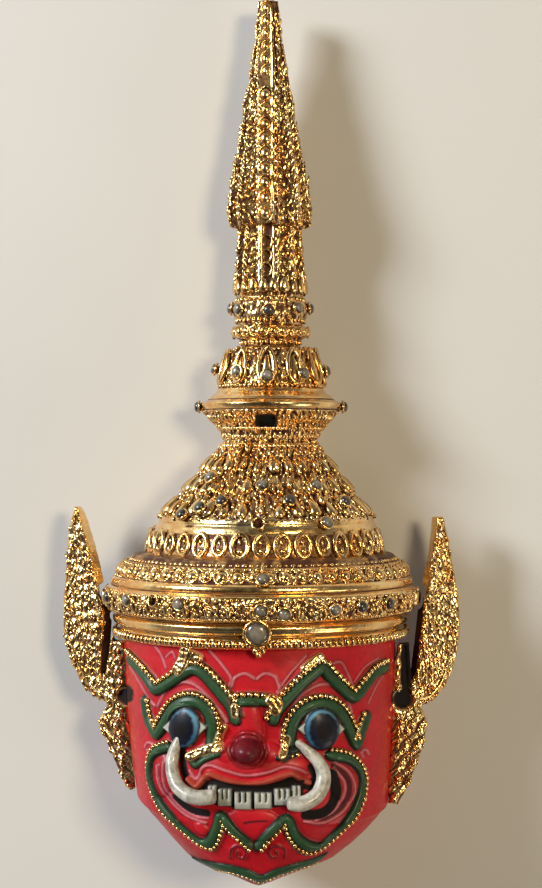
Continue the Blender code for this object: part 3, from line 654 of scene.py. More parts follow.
paints = {
    "red": linear(192, 25, 37), "deepRed": linear(132, 18, 30), "pink": linear(204, 108, 116),
    "green": linear(46, 80, 50), "darkGreen": linear(16, 36, 26), "black": linear(16, 10, 14),
    "maroon": linear(104, 20, 32), "blue": linear(104, 160, 186), "deepBlue": linear(50, 96, 128),
    "navy": linear(20, 24, 40), "white": linear(196, 196, 184), "orange": linear(172, 70, 52),
    "tooth": linear(186, 190, 180), "toothShade": linear(112, 116, 98),
}
faceLines = {
    "browLeft": ((235.8, 719.4), (231.5, 707), (224, 697), (215, 686), (206, 675.5), (198, 670),
                 (191, 669.5), (183, 674), (170, 683), (157, 689.5), (149, 680), (141, 669.5),
                 (129, 657)),
    "browRight": ((273.5, 720), (277, 711), (285, 701), (301, 684), (314, 673), (321.5, 668), (329, 676),
                  (341, 688), (353.7, 697), (366, 683), (374, 673), (385, 667)),
    "browBar": ((237, 701), (252, 700.5), (270, 702)),
    "eyeLeft": ((211.8, 743.3), (212.8, 728), (210, 715.6), (204, 706.5), (195.6, 701.4), (185, 701.4),
                (176.4, 706), (170, 714), (164, 724.4), (157.3, 733.8), (151.6, 726), (147.7, 716.5),
                (145, 701)),
    "eyeRight": ((289.6, 741.4), (291.5, 727), (298, 714.7), (308.7, 706), (322.2, 703.2), (333.7, 707),
                 (342.3, 716.7), (348, 728.2), (355.7, 744.3), (361.3, 730.2), (366.2, 716.6)),
    "jawLeft": ((170, 747), (158, 751), (152.6, 760.5), (153, 780), (160, 800.5), (172, 816.6),
                (186.4, 829.7), (202.5, 841.8), (211.6, 840.8), (217.6, 826.7), (221.6, 815.6),
                (235.7, 830.7), (252, 845.5)),
    "jawRight": ((258, 845.8), (270, 831.7), (286.3, 818.6), (294.3, 834.8), (305.4, 845), (317.5, 846.8),
                 (330.6, 836.7), (344.7, 822.7), (353.7, 809.6), (359.8, 793.5), (360.8, 778.4),
                 (355.7, 766.3), (345.7, 758.2), (329.5, 755.2)),
    "upperLip": ((189.4, 779), (197.5, 786), (204, 779), (211.6, 773.5), (222.6, 778), (240.8, 783),
                 (252, 783.5), (266, 781), (281, 775), (291, 773), (299, 778), (308, 782)),
    # the black line under the upper lip is painted shadow, in a carved groove
    "underLip": ((204, 789), (213, 783), (226, 786), (244, 789.5), (264, 789), (281, 784), (292, 780),
                 (303, 786), (313, 781)),
    "lipOutline": ((190, 771), (197, 779), (203, 768), (212, 764.5), (228, 770), (245.8, 774.5),
                   (266, 772), (283, 766), (296, 768), (306, 773)),
    "lidLeft": ((191, 756), (205, 750), (221, 746)),
    "tearLeft": ((192, 759), (196, 765), (206, 758), (219, 753)),
    "innerLeft": ((218, 743), (221, 733), (224, 727)),
    "lidRight": ((278, 757), (288, 752), (296, 750)),
    "innerRight": ((286, 738), (284, 748), (281, 754)),
    # the black recesses beside the tusks are painted shade, in carved hollows
    "recessLeft": ((183, 744), (183.5, 762), (186, 776), (195, 789), (204, 789)),
    "recessLeftLow": ((176, 797), (186, 806), (196, 811), (207, 813)),
    "recessRight": ((331, 774), (335, 790), (332, 804), (322, 813), (306, 815)),
    "recessRightIn": ((303, 784), (311, 786), (315, 776), (311, 767)),
    "arcLeftOuter": ((160, 765), (162, 783), (170, 799.5), (187.5, 815.5), (205.7, 822.5)),
    "arcLeftInner": ((165, 762), (167, 787), (179, 805), (196, 816), (208, 817.5)),
    "arcRightOuter": ((331.5, 761), (346, 771), (353, 790.8), (343.5, 810), (323, 822.5), (304.7, 821)),
    "arcRightInner": ((334, 770), (342, 782), (341, 798), (332.5, 811.5), (316, 820)),
    "arcRightMiddle": ((333, 765), (345, 778), (347, 794), (338, 811), (320, 821)),
    "overEyeLeft": ((158, 706), (166, 692), (179, 683.5), (191.4, 683), (204, 691.8), (216, 706), (227, 722)),
    "overEyeRight": ((283, 726), (294, 703), (307.5, 690), (321.8, 684), (334, 686.5), (345, 697),
                     (351, 712)),
    "browOutlineLeft": ((207, 648), (219, 661), (231, 678), (229, 686)),
    "browOutlineRight": ((277, 692), (291.4, 672), (306, 656)),
    "foreheadLeft": ((232, 686), (235, 678), (245, 673.5), (255, 679)),
    "foreheadRight": ((257, 679), (265, 673.5), (275, 677), (279.5, 688)),
    "templeLeft": ((150, 641), (160, 653), (166, 668)),
    "templeLeftSmall": ((166, 657), (172, 652), (175, 658)),
    "templeRight": ((331, 664), (341, 662), (348, 675), (352, 684)),
    "templeRightOuter": ((354, 682), (364.6, 667), (378, 658)),
    "sideLeft": ((128, 663), (138, 679), (148, 697), (155, 706)),
    "sideRight": ((384, 672), (374, 690), (368, 703)),
    "cheekLeft": ((145.5, 747), (148, 742.5), (152.5, 744), (152, 749), (147.5, 750)),
    "cheekRight": ((368.5, 754), (365, 749.5), (361, 752), (363, 757)),
    "chinRim": ((200, 862), (215, 866.5), (232, 869.5), (248, 874), (261, 879.5), (275, 873.5), (292, 868),
                (306, 864), (320, 858)),
    "lowerLipLine": ((245, 822), (256, 820.5), (267, 820.5)),
    "chinCurlLeft": ((231, 858), (231.5, 849), (239, 845.5), (246, 851), (243, 858), (237, 856), (238, 851)),
    "chinCurlRight": ((284, 858), (284, 849), (276, 845.5), (269, 850), (271, 857), (277, 856), (276, 851)),
    "flameLeft": ((181, 669), (186, 660), (188, 651)),
    "flameLeftTop": ((193, 654), (199, 657)),
    "flameRight": ((304, 668), (311, 662), (319, 656.5)),
    "blobRight": ((271, 699), (276, 702), (275, 709)),
    "endLeft": ((235.5, 706), (236, 714)),
}
# what each line gets, in order: half width, rise and paint
faceStrokes = (
    ("templeLeft", 0.16, 0.12, "pink"), ("templeLeftSmall", 0.14, 0.1, "pink"),
    ("templeRight", 0.16, 0.12, "pink"), ("templeRightOuter", 0.14, 0.1, "pink"),
    ("browOutlineLeft", 0.2, 0.14, "pink"), ("browOutlineRight", 0.18, 0.14, "pink"),
    ("foreheadLeft", 0.22, 0.16, "pink"), ("foreheadRight", 0.22, 0.16, "pink"),
    ("sideLeft", 0.22, 0.2, "pink"), ("sideRight", 0.18, 0.16, "pink"), ("cheekLeft", 0.22, 0.3, "pink"),
    ("cheekRight", 0.22, 0.3, "pink"), ("overEyeLeft", 0.26, 0.3, "pink"),
    ("overEyeRight", 0.26, 0.3, "pink"), ("arcLeftOuter", 0.26, 0.35, "pink"),
    ("arcLeftInner", 0.22, 0.2, "pink"), ("arcRightMiddle", 0.5, -0.25, "maroon"),
    ("arcRightOuter", 0.26, 0.35, "pink"), ("arcRightInner", 0.24, 0.25, "pink"),
    ("chinRim", 0.85, 0.5, "green"), ("recessLeft", 0.62, -0.7, "black"),
    ("recessLeftLow", 0.62, -0.7, "black"), ("recessRight", 0.85, -0.8, "black"),
    ("recessRightIn", 0.6, -0.5, "black"), ("jawLeft", 0.74, 0.85, "green"),
    ("jawRight", 0.74, 0.85, "green"), ("eyeLeft", 0.9, 0.75, "green"), ("eyeRight", 0.9, 0.75, "green"),
    ("browLeft", 0.88, 0.9, "green"), ("browRight", 0.88, 0.9, "green"), ("browBar", 0.72, 1.0, "green"),
    ("tearLeft", 0.5, 0.5, "green"), ("lidRight", 0.55, 0.7, "darkGreen"),
    ("lipOutline", 0.22, 0.25, "pink"), ("underLip", 0.62, -0.75, "black"),
    ("upperLip", 0.5, 0.9, "orange"), ("lowerLipLine", 0.16, -0.25, "maroon"),
    ("chinCurlLeft", 0.2, 0.4, "maroon"), ("chinCurlRight", 0.2, 0.4, "maroon"),
)
# rows of gold beads: the side of the line, distance from its middle, bead size, spacing, rise
faceBeads = {
    "browLeft": (1, 1.15, (1.1, 1.05, 0.8), 0.98, 0.62),
    "browRight": (-1, 1.15, (1.0, 0.95, 0.75), 0.95, 0.62),
    "browBar": (-1, 1.0, (1.05, 1.0, 0.8), 0.98, 0.7), "eyeLeft": (1, 1.25, (0.95, 0.85, 0.7), 0.86, 0.5),
    "eyeRight": (-1, 1.2, (0.95, 0.85, 0.7), 0.88, 0.5), "jawLeft": (1, 0.9, (0.7, 0.7, 0.6), 0.84, 0.5),
    "jawRight": (1, 0.95, (0.82, 0.78, 0.65), 0.86, 0.5),
    "lidRight": (1, 0.7, (0.8, 0.75, 0.65), 0.78, 0.5), "chinRim": (1, 0.75, (0.5, 0.5, 0.5), 0.75, 0.3),
}
goldStrokes = (("lidLeft", 0.72, 0.8), ("innerLeft", 0.5, 0.5), ("innerRight", 0.5, 0.5),
               ("flameLeft", 0.95, 1.1), ("flameLeftTop", 0.7, 0.9), ("flameRight", 0.6, 0.8),
               ("blobRight", 0.85, 1.3), ("endLeft", 0.5, 1.0))
# black patches beside the temples, in the picture: painted shadow where the ears meet the face
sideShadows = (((127.0, 692.0), (8.0, 10.0)), ((397.5, 699.0), (7.0, 9.0)))
# broad swellings under the carving: centre, half width, half height, rise
swellings = (
    ((187.0, 724.5), 3.2, 3.4, 1.3), ((321.2, 726.0), 3.4, 3.2, 1.3), ((229.0, 753.0), 2.3, 1.9, 1.2),
    ((268.0, 753.0), 2.3, 1.9, 1.2), ((250.0, 728.0), 2.2, 5.4, 1.3), ((160.0, 775.0), 3.0, 4.0, 0.6),
    ((345.0, 778.0), 3.0, 4.0, 0.6), ((252.0, 824.0), 4.8, 2.8, 0.8), ((252.0, 766.0), 9.0, 3.0, 0.9),
    ((202.0, 829.0), 1.3, 1.2, 0.6),
)
eyes = (
    {"centre": (187.3, 727.0), "corners": (21.0, 20.0), "ring": (15.0, 20.0), "pupil": (11.8, 16.6),
     "pupilAt": (185.3, 728.0), "tilt": 0.12},
    {"centre": (319.6, 728.3), "corners": (22.5, 20.4), "ring": (17.0, 20.6), "pupil": (13.6, 17.6),
     "pupilAt": (320.8, 730.0), "tilt": -0.05},
)
nose = {"centre": (248.0, 749.5), "ball": 14.0, "rings": 19.5, "rise": 4.0}
# the black arch of the mouth, painted shade between lip and teeth: where each edge starts and ends, and how
# far the ends of its top and foot rise
mouth = {"middle": 254.0, "half": 46.0, "top": (783.0, 787.0), "topBow": 5.0, "foot": (809.5, 808.0),
         "footBow": 6.5, "left": (205.0, 207.0), "right": (304.0, 302.0)}
# teeth from left to right: sides, top and bottom
teeth = ((209, 217, 785.0, 802.5), (219, 232, 788.5, 805.5), (235, 251.5, 791.5, 808.8),
         (254.5, 271.5, 792.0, 808.4), (274, 289.5, 788.0, 804.8), (291.5, 300, 785.0, 801.5))


def nearestOnLine(across, y, points):
    # distance to a line, which side of it, and how far along it
    best = np.full(across.shape, 1e9)
    side = np.zeros(across.shape)
    along = np.zeros(across.shape)
    run = 0.0
    for (x0, y0), (x1, y1) in zip(points, points[1:]):
        dx, dy = x1 - x0, y1 - y0
        length = math.hypot(dx, dy)
        share = np.clip(((across - x0) * dx + (y - y0) * dy) / (length * length), 0.0, 1.0)
        away = np.hypot(across - x0 - share * dx, y - y0 - share * dy)
        nearer = away < best
        best = np.where(nearer, away, best)
        side = np.where(nearer, np.sign((across - x0) * dy - (y - y0) * dx), side)
        along = np.where(nearer, run + share * length, along)
        run += length
    return best, side, along


def unrolledLine(pixels):
    places = [onMask(pixel) for pixel in smoothLine(pixels, 4)]
    return [(angle * form["unrollRadius"], y) for angle, y in places]


def inEllipse(px, py, centre, size, tilt=0.0):
    dx, dy = px - centre[0], py - centre[1]
    turned = dx * math.cos(tilt) + dy * math.sin(tilt)
    return np.hypot(turned / size[0], (dy * math.cos(tilt) - dx * math.sin(tilt)) / size[1])


class FaceSkin:
    # the face's surface as grids: paint, gold, how deep in shade each place is, swellings and carved lines
    def __init__(self, angle, y, plain):
        self.across, self.y = angle * form["unrollRadius"], y
        self.px, self.py = toPicture(surfacePoint(angle, y, plain))
        self.sideways = np.degrees(np.abs(angle))
        self.facing = np.abs(angle) < math.radians(85.0)
        self.paint = np.broadcast_to(np.array(paints["red"]), (*angle.shape, 3)).copy()
        self.gilt, self.cavity = np.zeros(angle.shape), np.zeros(angle.shape)
        self.rise, self.carved = np.zeros(angle.shape), np.zeros(angle.shape)

    def lay(self, mask, colour, gold=0.0):
        self.paint = self.paint * (1.0 - mask[..., None]) + np.array(paints[colour]) * mask[..., None]
        self.gilt = self.gilt * (1.0 - mask) + gold * mask

    def toLine(self, name):
        return nearestOnLine(self.across, self.y, unrolledLine(faceLines[name]))


def swellFace(skin, pixel, wide, tall, top):
    angle, y = onMask(pixel)
    reach = np.hypot((skin.across - angle * form["unrollRadius"]) / wide, (skin.y - y) / tall)
    skin.rise = np.maximum(skin.rise, top * dome(reach))


def drawBeadBed(skin, name, top, away, side, along):
    # the black strip that a row of beads lies in, painted shade under and between the beads; it ends with its
    # line
    direction, offset, size, _, _ = faceBeads[name]
    beside = np.abs(away * side * direction - offset)
    bed = step(0.5 * size[0] + 0.1, 0.5 * size[0] - 0.1, beside) * skin.facing
    bed = bed * step(0.0, 0.3, along) * step(along.max(), along.max() - 0.3, along)
    skin.lay(bed, "black", 0.25)
    skin.cavity = np.maximum(skin.cavity * (1.0 - bed), 0.7 * bed)
    skin.carved = np.maximum(skin.carved, 0.4 * top * bed)


def drawStroke(skin, name, half, top, colour):
    away, side, along = skin.toLine(name)
    mask = step(half + 0.08, half - 0.08, away) * skin.facing
    if name in faceBeads:
        drawBeadBed(skin, name, top, away, side, along)
    shade = {"green": 1.0, "pink": 0.4}.get(colour, 0.0)
    # green and pink lines get painted shade beside them: a deep red band and a thin black edge
    if shade > 0.0:
        skin.lay(0.6 * step(half + shade, half, away) * skin.facing, "deepRed")
        skin.lay(step(half + 0.28 * shade, half + 0.1 * shade, away) * skin.facing * shade, "black")
    skin.lay(mask, colour)
    if colour == "green":
        skin.lay(0.75 * mask * step(0.5 * half, 0.95 * half, away), "darkGreen")
    skin.cavity = skin.cavity * (1.0 - mask)
    if top < 0.0:
        skin.carved = skin.carved + top * step(half * 1.5, half * 0.4, away)
        skin.cavity = np.maximum(skin.cavity, 0.55 * mask)
    elif colour == "green":
        ridge = 0.75 * step(half * 1.2, half * 0.7, away) + 0.25 * step(half * 0.8, 0.0, away)
        skin.carved = np.maximum(skin.carved, top * ridge)
    else:
        skin.carved = np.maximum(skin.carved, top * step(half * 1.3, half * 0.4, away))


def drawGold(skin, name, half, top):
    away, _, _ = skin.toLine(name)
    lumps, _ = grains(skin.across, skin.y, 0.6, 0.6, 41)
    mask = step(half + 0.12, half - 0.1, away)
    skin.lay(mask, "white", 1.0)
    skin.cavity = skin.cavity * (1.0 - mask)
    skin.carved = np.maximum(skin.carved, mask * (top + 0.22 * (1.0 - lumps)))


def drawEye(skin, eye):
    px, py = skin.px, skin.py
    (x, y), (wide, tall) = eye["centre"], eye["ring"]
    corners = np.abs(px - x) / eye["corners"][0] + np.abs(py - y) / eye["corners"][1]
    ring = inEllipse(px, py, eye["centre"], eye["ring"], eye["tilt"])
    pupil = inEllipse(px, py, eye["pupilAt"], eye["pupil"], eye["tilt"])
    pupil = pupil + 0.16 * (rolling(px, py, 3.0, 71) - 0.5)
    opening = np.minimum(corners, ring)
    lit = (y - py) / tall + 0.35 * (px - x) / wide
    skin.lay(step(1.12, 1.03, opening), "black")
    skin.lay(step(1.03, 0.97, opening), "white")
    skin.lay(step(1.03, 0.99, ring), "navy")
    skin.lay(step(0.98, 0.9, ring), "deepBlue")
    skin.lay(step(0.96, 0.84, ring) * step(-0.5, 0.7, lit), "blue")
    skin.lay(step(1.14, 0.94, pupil), "navy")
    skin.lay(0.6 * step(0.75, 0.35, pupil), "black")
    inside = step(1.12, 0.97, opening)
    skin.cavity = skin.cavity * (1.0 - inside)
    bulge = 0.3 + 1.35 * dome(np.clip(ring, 0.0, 1.0) * 0.9)
    skin.rise = skin.rise * (1.0 - inside) + inside * bulge


def drawNose(skin):
    ball = inEllipse(skin.px, skin.py, nose["centre"], (nose["ball"], nose["ball"] * 0.96))
    rings = np.hypot(skin.px - nose["centre"][0], skin.py - nose["centre"][1])
    skin.lay(step(1.42, 1.3, ball) * 0.75, "deepRed")
    skin.lay(step(1.04, 0.96, ball), "maroon")
    groove = sum(step(0.9, 0.2, np.abs(rings - reach)) for reach in (nose["ball"] * 1.12, nose["rings"]))
    skin.rise = np.maximum(skin.rise, nose["rise"] * dome(ball)) - 0.25 * groove * (ball > 1.0)
    skin.lay(0.5 * step(0.8, 0.2, np.abs(rings - nose["ball"] * 0.62)), "deepRed")
    skin.cavity = np.maximum(skin.cavity, 0.7 * np.minimum(groove, 1.0))


def drawMouth(skin):
    bow = ((skin.px - mouth["middle"]) / mouth["half"]) ** 2
    opening = step(*mouth["top"], skin.py + mouth["topBow"] * bow)
    opening = opening * step(*mouth["foot"], skin.py + mouth["footBow"] * bow)
    opening = opening * step(*mouth["left"], skin.px) * step(*mouth["right"], skin.px)
    # the opening is painted black as shade
    skin.lay(opening, "black")
    skin.rise = skin.rise * (1.0 - opening) + opening * 0.1
    skin.cavity = skin.cavity * (1.0 - opening) + opening * 0.4


def drawTooth(skin, left, right, top, bottom):
    px, py = skin.px, skin.py
    middle, half = 0.5 * (left + right), 0.5 * (right - left)
    tall = (bottom - py) / (bottom - top)
    inside = step(half + 0.5, half - 0.7, np.abs(px - middle)) * step(top - 0.6, top + 0.8, py)
    inside = inside * step(bottom + 0.6, bottom - 0.8, py)
    slots = 3 if half > 5.0 else 2
    phase = (px - left) / (right - left) * slots
    between = step(0.22, 0.08, np.abs(phase - np.round(phase))) * (phase > 0.5) * (phase < slots - 0.5)
    slot = between * step(0.38, 0.46, tall)
    skin.lay(inside, "tooth")
    skin.lay(inside * step(0.5, 0.1, tall) * 0.5, "toothShade")
    skin.lay(0.85 * inside * slot, "black")
    swell = dome((phase - np.floor(phase) - 0.5) * 1.6) * step(0.3, 0.5, tall) + step(0.5, 0.3, tall)
    skin.rise = np.maximum(skin.rise, inside * (1.0 - slot) * (0.55 + 0.35 * swell))
    skin.cavity = skin.cavity * (1.0 - inside) + 0.25 * inside * slot


def drawSideShadow(skin, centre, size):
    # a ragged black patch, painted shadow
    ragged = inEllipse(skin.px, skin.py, centre, size) + 0.5 * (rolling(skin.px, skin.py, 4.0, 73) - 0.5)
    hole = step(1.05, 0.8, ragged) * step(94.0, 86.0, skin.sideways)
    skin.lay(hole, "black")
    skin.cavity = np.maximum(skin.cavity, hole)


def dressFace(angle, y, plain):
    skin = FaceSkin(angle, y, plain)
    for swelling in swellings:
        swellFace(skin, *swelling)
    for stroke in faceStrokes:
        drawStroke(skin, *stroke)
    for stroke in goldStrokes:
        drawGold(skin, *stroke)
    skin.rise = skin.rise + skin.carved
    for eye in eyes:
        drawEye(skin, eye)
    drawNose(skin)
    drawMouth(skin)
    for tooth in teeth:
        drawTooth(skin, *tooth)
    for hole in sideShadows:
        drawSideShadow(skin, *hole)
    # black paint is dull, and the relief dies away round the sides
    dull = step(0.04, 0.015, skin.paint.sum(axis=-1)) * (1.0 - skin.gilt)
    cavity = np.clip(np.maximum(skin.cavity, dull), 0.0, 1.0)
    rise = skin.rise * (1.0 - 0.8 * step(62.0, 70.0, skin.sideways))
    rise = (rise + 0.05 * rolling(skin.across, y, 1.6, 5)) * step(108.0, 88.0, skin.sideways)
    return rise, {"paint": skin.paint, "gilt": skin.gilt, "cavity": cavity, "bare": 0.0 * skin.gilt}


faceRows = {"rows": 232, "columns": 350, "sideColumns": 12, "fineHalf": 72.0}


def makeFace():
    size = faceRows
    chin, rim, foot = form["chinY"], form["rimY"], form["undersideY"]
    belowRows = int(size["rows"] * (foot - chin) / (rim - chin))
    aboveRows = int(size["rows"] * (rim - foot) / (rim - chin))
    y = np.concatenate([np.linspace(chin, foot - 0.01, belowRows),
                        np.linspace(foot + 0.01, rim + 0.3, aboveRows)])
    innerFoot = undersideFoot(form["wall"])
    innerY = np.concatenate([np.linspace(chin + 1.9 * form["wall"], innerFoot - 0.02, 6),
                             np.linspace(innerFoot + 0.02, rim + 0.3, 14)])

    def plainFace(angle, row, inset=0.0):
        return radiusAt(angle, np.minimum(row, rim), inset)

    hollow = {"y": innerY, "columns": 40, "closedTop": False}
    return wrapShell("face", y, size["columns"], size["sideColumns"], size["fineHalf"], dressFace,
                     paintShader, hollow, closedTop=False, radiusRule=plainFace)


face = makeFace()
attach(face, "root")
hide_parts("mask_shell")
print("face made")

# The crown, in turned pieces that meet in its grooves

crownPieces = {
    "crown_bands": {"from": -35.5, "to": -21.6, "rows": 90, "columns": 500},
    "crown_cone": {"from": -21.6, "to": -1.85, "rows": 124, "columns": 430},
    "crown_ring": {"from": -1.85, "to": 14.95, "rows": 116, "columns": 320},
}
lostStones = ((155, 600.6), (258.5, 523.8))
# the slot in the middle of the ring, sunk and painted black inside as shade: where, half width and half
# height
ringSlot = {"at": (266, 421.5), "half": (1.8, 1.2), "depth": 1.0}


def turnedRadius(angle, y):
    return table(form["crown"], y) + 0.0 * angle


# heights that each kind of carving fills: where it starts, is full, starts to fade and ends
crownZones = {
    "filigree": (-30.6, -30.3, -27.3, -27.0), "second": (-24.9, -24.7, -22.8, -22.5),
    "ledge": (-22.6, -22.3, -21.0, -20.8), "petalBed": (-21.0, -20.8, -17.3, -16.8),
    "cone": (-15.2, -14.4, -2.6, -2.2), "neck": (-2.4, -1.8, 0.2, 0.6), "under": (0.2, 0.6, 3.4, 3.7),
    "drum": (7.8, 8.2, 14.2, 14.8),
}
crownGrooves = (-33.3, -31.2, -26.35, -24.8, 3.75, 5.5, 7.7, 14.9)
crownRolls = (4.6, 6.3, 7.1, -15.1, -16.4, -25.7, -32.0)


def inZones(y, *names):
    filled = 0.0
    for start, full, fading, end in (crownZones[name] for name in names):
        filled = filled + step(start, full, y) * step(end, fading, y)
    return np.clip(filled, 0.0, 1.0)


def crownCarving(angle, y, plain):
    # relief of the turned crown, how deep in a hollow each place is, where grains lie, and the slot's inside,
    # which is painted unlit black as shade
    arc = angle * plain
    leafy, _ = grains(arc, y, 1.3, 1.35, 11)
    small, _ = grains(arc, y, 0.5, 0.5, 17)
    tall, _ = grains(arc, y, 0.9, 2.3, 23)
    coarse = inZones(y, "filigree", "second")
    upright = inZones(y, "neck", "under", "drum")
    cone = inZones(y, "cone")
    rise = coarse * (0.6 * (1.0 - leafy) + 0.08 * (1.0 - small) - 0.3)
    rise = rise + cone * (0.62 * (1.0 - tall) + 0.08 * (1.0 - small) - 0.3)
    rise = rise + upright * (0.4 * (1.0 - tall) + 0.08 * (1.0 - small) - 0.2)
    busy = np.clip(coarse + cone + upright, 0.0, 1.0)
    cavity = busy * step(0.22, 0.62, np.where(coarse > 0.3, leafy, tall))
    ledge = inZones(y, "ledge") * (0.55 + 0.3 * rolling(arc, y, 1.8, 37))
    petalBed = inZones(y, "petalBed") * (0.5 + 0.3 * (1.0 - small))
    cavity = np.maximum(cavity, np.maximum(ledge, petalBed))
    for groove in crownGrooves:
        near = step(0.3, 0.05, np.abs(y - groove))
        cavity = np.maximum(cavity, 0.75 * near)
        rise = rise - 0.12 * near
    for roll in crownRolls:
        rise = rise + 0.16 * dome((y - roll) / 0.5)
    for pixel in lostStones:
        middle, height = onMask(pixel, turnedRadius)
        reach = np.hypot((angle - middle) * plain, y - height) / 0.95
        rise = np.where(reach < 1.0, -0.75 * dome(reach), rise)
        cavity = np.maximum(cavity, step(1.1, 0.9, reach))
        busy = busy * step(0.9, 1.6, reach)
    middle, height = onMask(ringSlot["at"], turnedRadius)
    across, up = (angle - middle) * plain / ringSlot["half"][0], (y - height) / ringSlot["half"][1]
    slot = (across ** 4 + up ** 4) ** 0.25 * (0.94 + 0.12 * rolling(arc, y, 0.6, 29))
    rise = np.where(slot < 1.0, -ringSlot["depth"] * step(1.0, 0.75, slot), rise)
    cavity = np.maximum(cavity, step(1.15, 1.0, slot))
    busy = busy * step(1.0, 1.5, slot)
    smooth = (1.0 - busy) * 0.05 * (rolling(arc, y, 1.3, 31) - 0.5)
    return rise + smooth, cavity, busy, step(1.05, 0.95, slot)


def dressCrown(angle, y, plain):
    degrees = np.degrees(np.abs(angle))
    rise, cavity, busy, bare = crownCarving(angle, y, plain)
    fade = step(106.0, 96.0, degrees)
    return rise * fade, {"cavity": cavity, "bare": bare, "busy": busy * fade}


def makeCrownPiece(name, size):
    y = np.linspace(size["from"], size["to"], size["rows"])
    hollow = None
    if size["from"] < form["hollowTopY"]:
        top = min(size["to"], form["hollowTopY"])
        hollow = {"y": np.linspace(size["from"], top, 10), "columns": 40, "closedTop": top < size["to"]}

    def turned(angle, row, inset=0.0):
        return radiusAt(angle, np.maximum(row, form["rimY"] + 0.05), inset)

    return wrapShell(name, y, size["columns"], 6, 100.0, dressCrown, giltShader, hollow,
                     closedTop=hollow is None or hollow["closedTop"], radiusRule=turned)


for name, size in crownPieces.items():
    piece = makeCrownPiece(name, size)
    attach(piece, "root")
    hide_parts("mask_shell")
print("crown made")

# Trees that repeat a small shape

class Grower:
    # one Geometry Nodes tree; its sizes are named inputs
    def __init__(self, name, sizes):
        self.tree = bpy.data.node_groups.new(name, "GeometryNodeTree")
        face = self.tree.interface
        face.new_socket(name="Geometry", in_out="OUTPUT", socket_type="NodeSocketGeometry")
        face.new_socket(name="Start", in_out="INPUT", socket_type="NodeSocketGeometry")
        common = {"Motif": "Object", "Finish": "Material", "Size": "Vector", "Size variation": "Float",
                  "Seed": "Int"}
        for label, kind in {**common, **sizes}.items():
            face.new_socket(name=label, in_out="INPUT", socket_type=f"NodeSocket{kind}")
        self.wire = Wire(self.tree)
        source = self.tree.nodes.new("NodeGroupInput")
        self.given = {socket.name: Wire(self.tree, socket) for socket in source.outputs if socket.name}

    def finish(self, points, rotation, selection=None):
        wire, given = self.wire, self.given
        low, high = 1.0 - given["Size variation"], 1.0 + given["Size variation"]
        chance = wire.node("FunctionNodeRandomValue", {"data_type": "FLOAT"},
                           {2: low, 3: high, "Seed": given["Seed"]}, 1)
        scale = wire.node("ShaderNodeVectorMath", {"operation": "SCALE"}, {0: given["Size"], 3: chance})
        motif = wire.node("GeometryNodeObjectInfo", None, {"Object": given["Motif"]}, "Geometry")
        settled = {"Points": points, "Instance": motif, "Rotation": rotation, "Scale": scale}
        if selection is not None:
            settled["Selection"] = selection
        spread = wire.node("GeometryNodeInstanceOnPoints", None, settled)
        real = wire.node("GeometryNodeRealizeInstances", None, {"Geometry": spread})
        smooth = wire.node("GeometryNodeSetShadeSmooth", None, {"Geometry": real})
        done = wire.node("GeometryNodeSetMaterial", None, {"Geometry": smooth, "Material": given["Finish"]})
        out = self.tree.nodes.new("NodeGroupOutput")
        self.tree.links.new(done.socket, out.inputs[0])

    def facing(self):
        # stand square to the outward attribute
        wire = self.wire
        outward = wire.node("GeometryNodeInputNamedAttribute", {"data_type": "FLOAT_VECTOR"},
                            {"Name": "outward"})
        square = wire.node("FunctionNodeAlignRotationToVector", {"axis": "Z"}, {"Vector": outward})
        return wire, square

    def upright(self, square, along):
        return self.wire.node("FunctionNodeAlignRotationToVector", {"axis": "Y", "pivot_axis": "Z"},
                              {"Rotation": square, "Vector": along})

    def grow(self, name, start, values):
        host = linked(name, start)
        modifier = host.modifiers.new("grow", "NODES")
        modifier.node_group = self.tree
        for item in self.tree.interface.items_tree:
            if item.in_out == "INPUT" and item.name in values:
                modifier[item.identifier] = values[item.name]
        graph = bpy.context.evaluated_depsgraph_get()
        mesh = bpy.data.meshes.new_from_object(host.evaluated_get(graph), depsgraph=graph)
        bpy.data.objects.remove(host)
        mesh.name = name
        for key in ("cavity", "bare"):
            if key not in mesh.attributes:
                mesh.attributes.new(key, "FLOAT", "POINT")
        return linked(name, mesh)


def rowTree():
    # a ring of motifs round the turned crown
    sizes = {"Count": "Int", "Radius": "Float", "Height": "Float", "Lean": "Float", "Axis": "Float",
             "Slope": "Float", "Sweep": "Float", "Phase": "Float", "Gap at": "Float", "Gap": "Float"}
    tree = Grower("turned row", sizes)
    wire, given = tree.wire, tree.given
    index = wire.node("GeometryNodeInputIndex")
    share = wire.math("DIVIDE", index, given["Count"] - 1.0)
    angle = (share - 0.5) * given["Sweep"] + given["Phase"]
    across = given["Lean"] + given["Radius"] * wire.math("SINE", angle)
    ahead = given["Axis"] + given["Radius"] * wire.math("COSINE", angle)
    points = wire.node("GeometryNodeMeshLine", None, {"Count": given["Count"], "Offset": (0.0, 0.0, 0.0)})
    place = wire.node("ShaderNodeCombineXYZ", None, {"X": across, "Y": given["Height"], "Z": ahead})
    placed = wire.node("GeometryNodeSetPosition", None, {"Geometry": points, "Position": place})
    turn = wire.node("ShaderNodeCombineXYZ", None, {"X": given["Slope"], "Y": angle})
    outsideGap = wire.math("GREATER_THAN", wire.math("ABSOLUTE", angle - given["Gap at"]), given["Gap"])
    tree.finish(placed, wire.node("FunctionNodeEulerToRotation", None, {"Euler": turn}), outsideGap)
    return tree


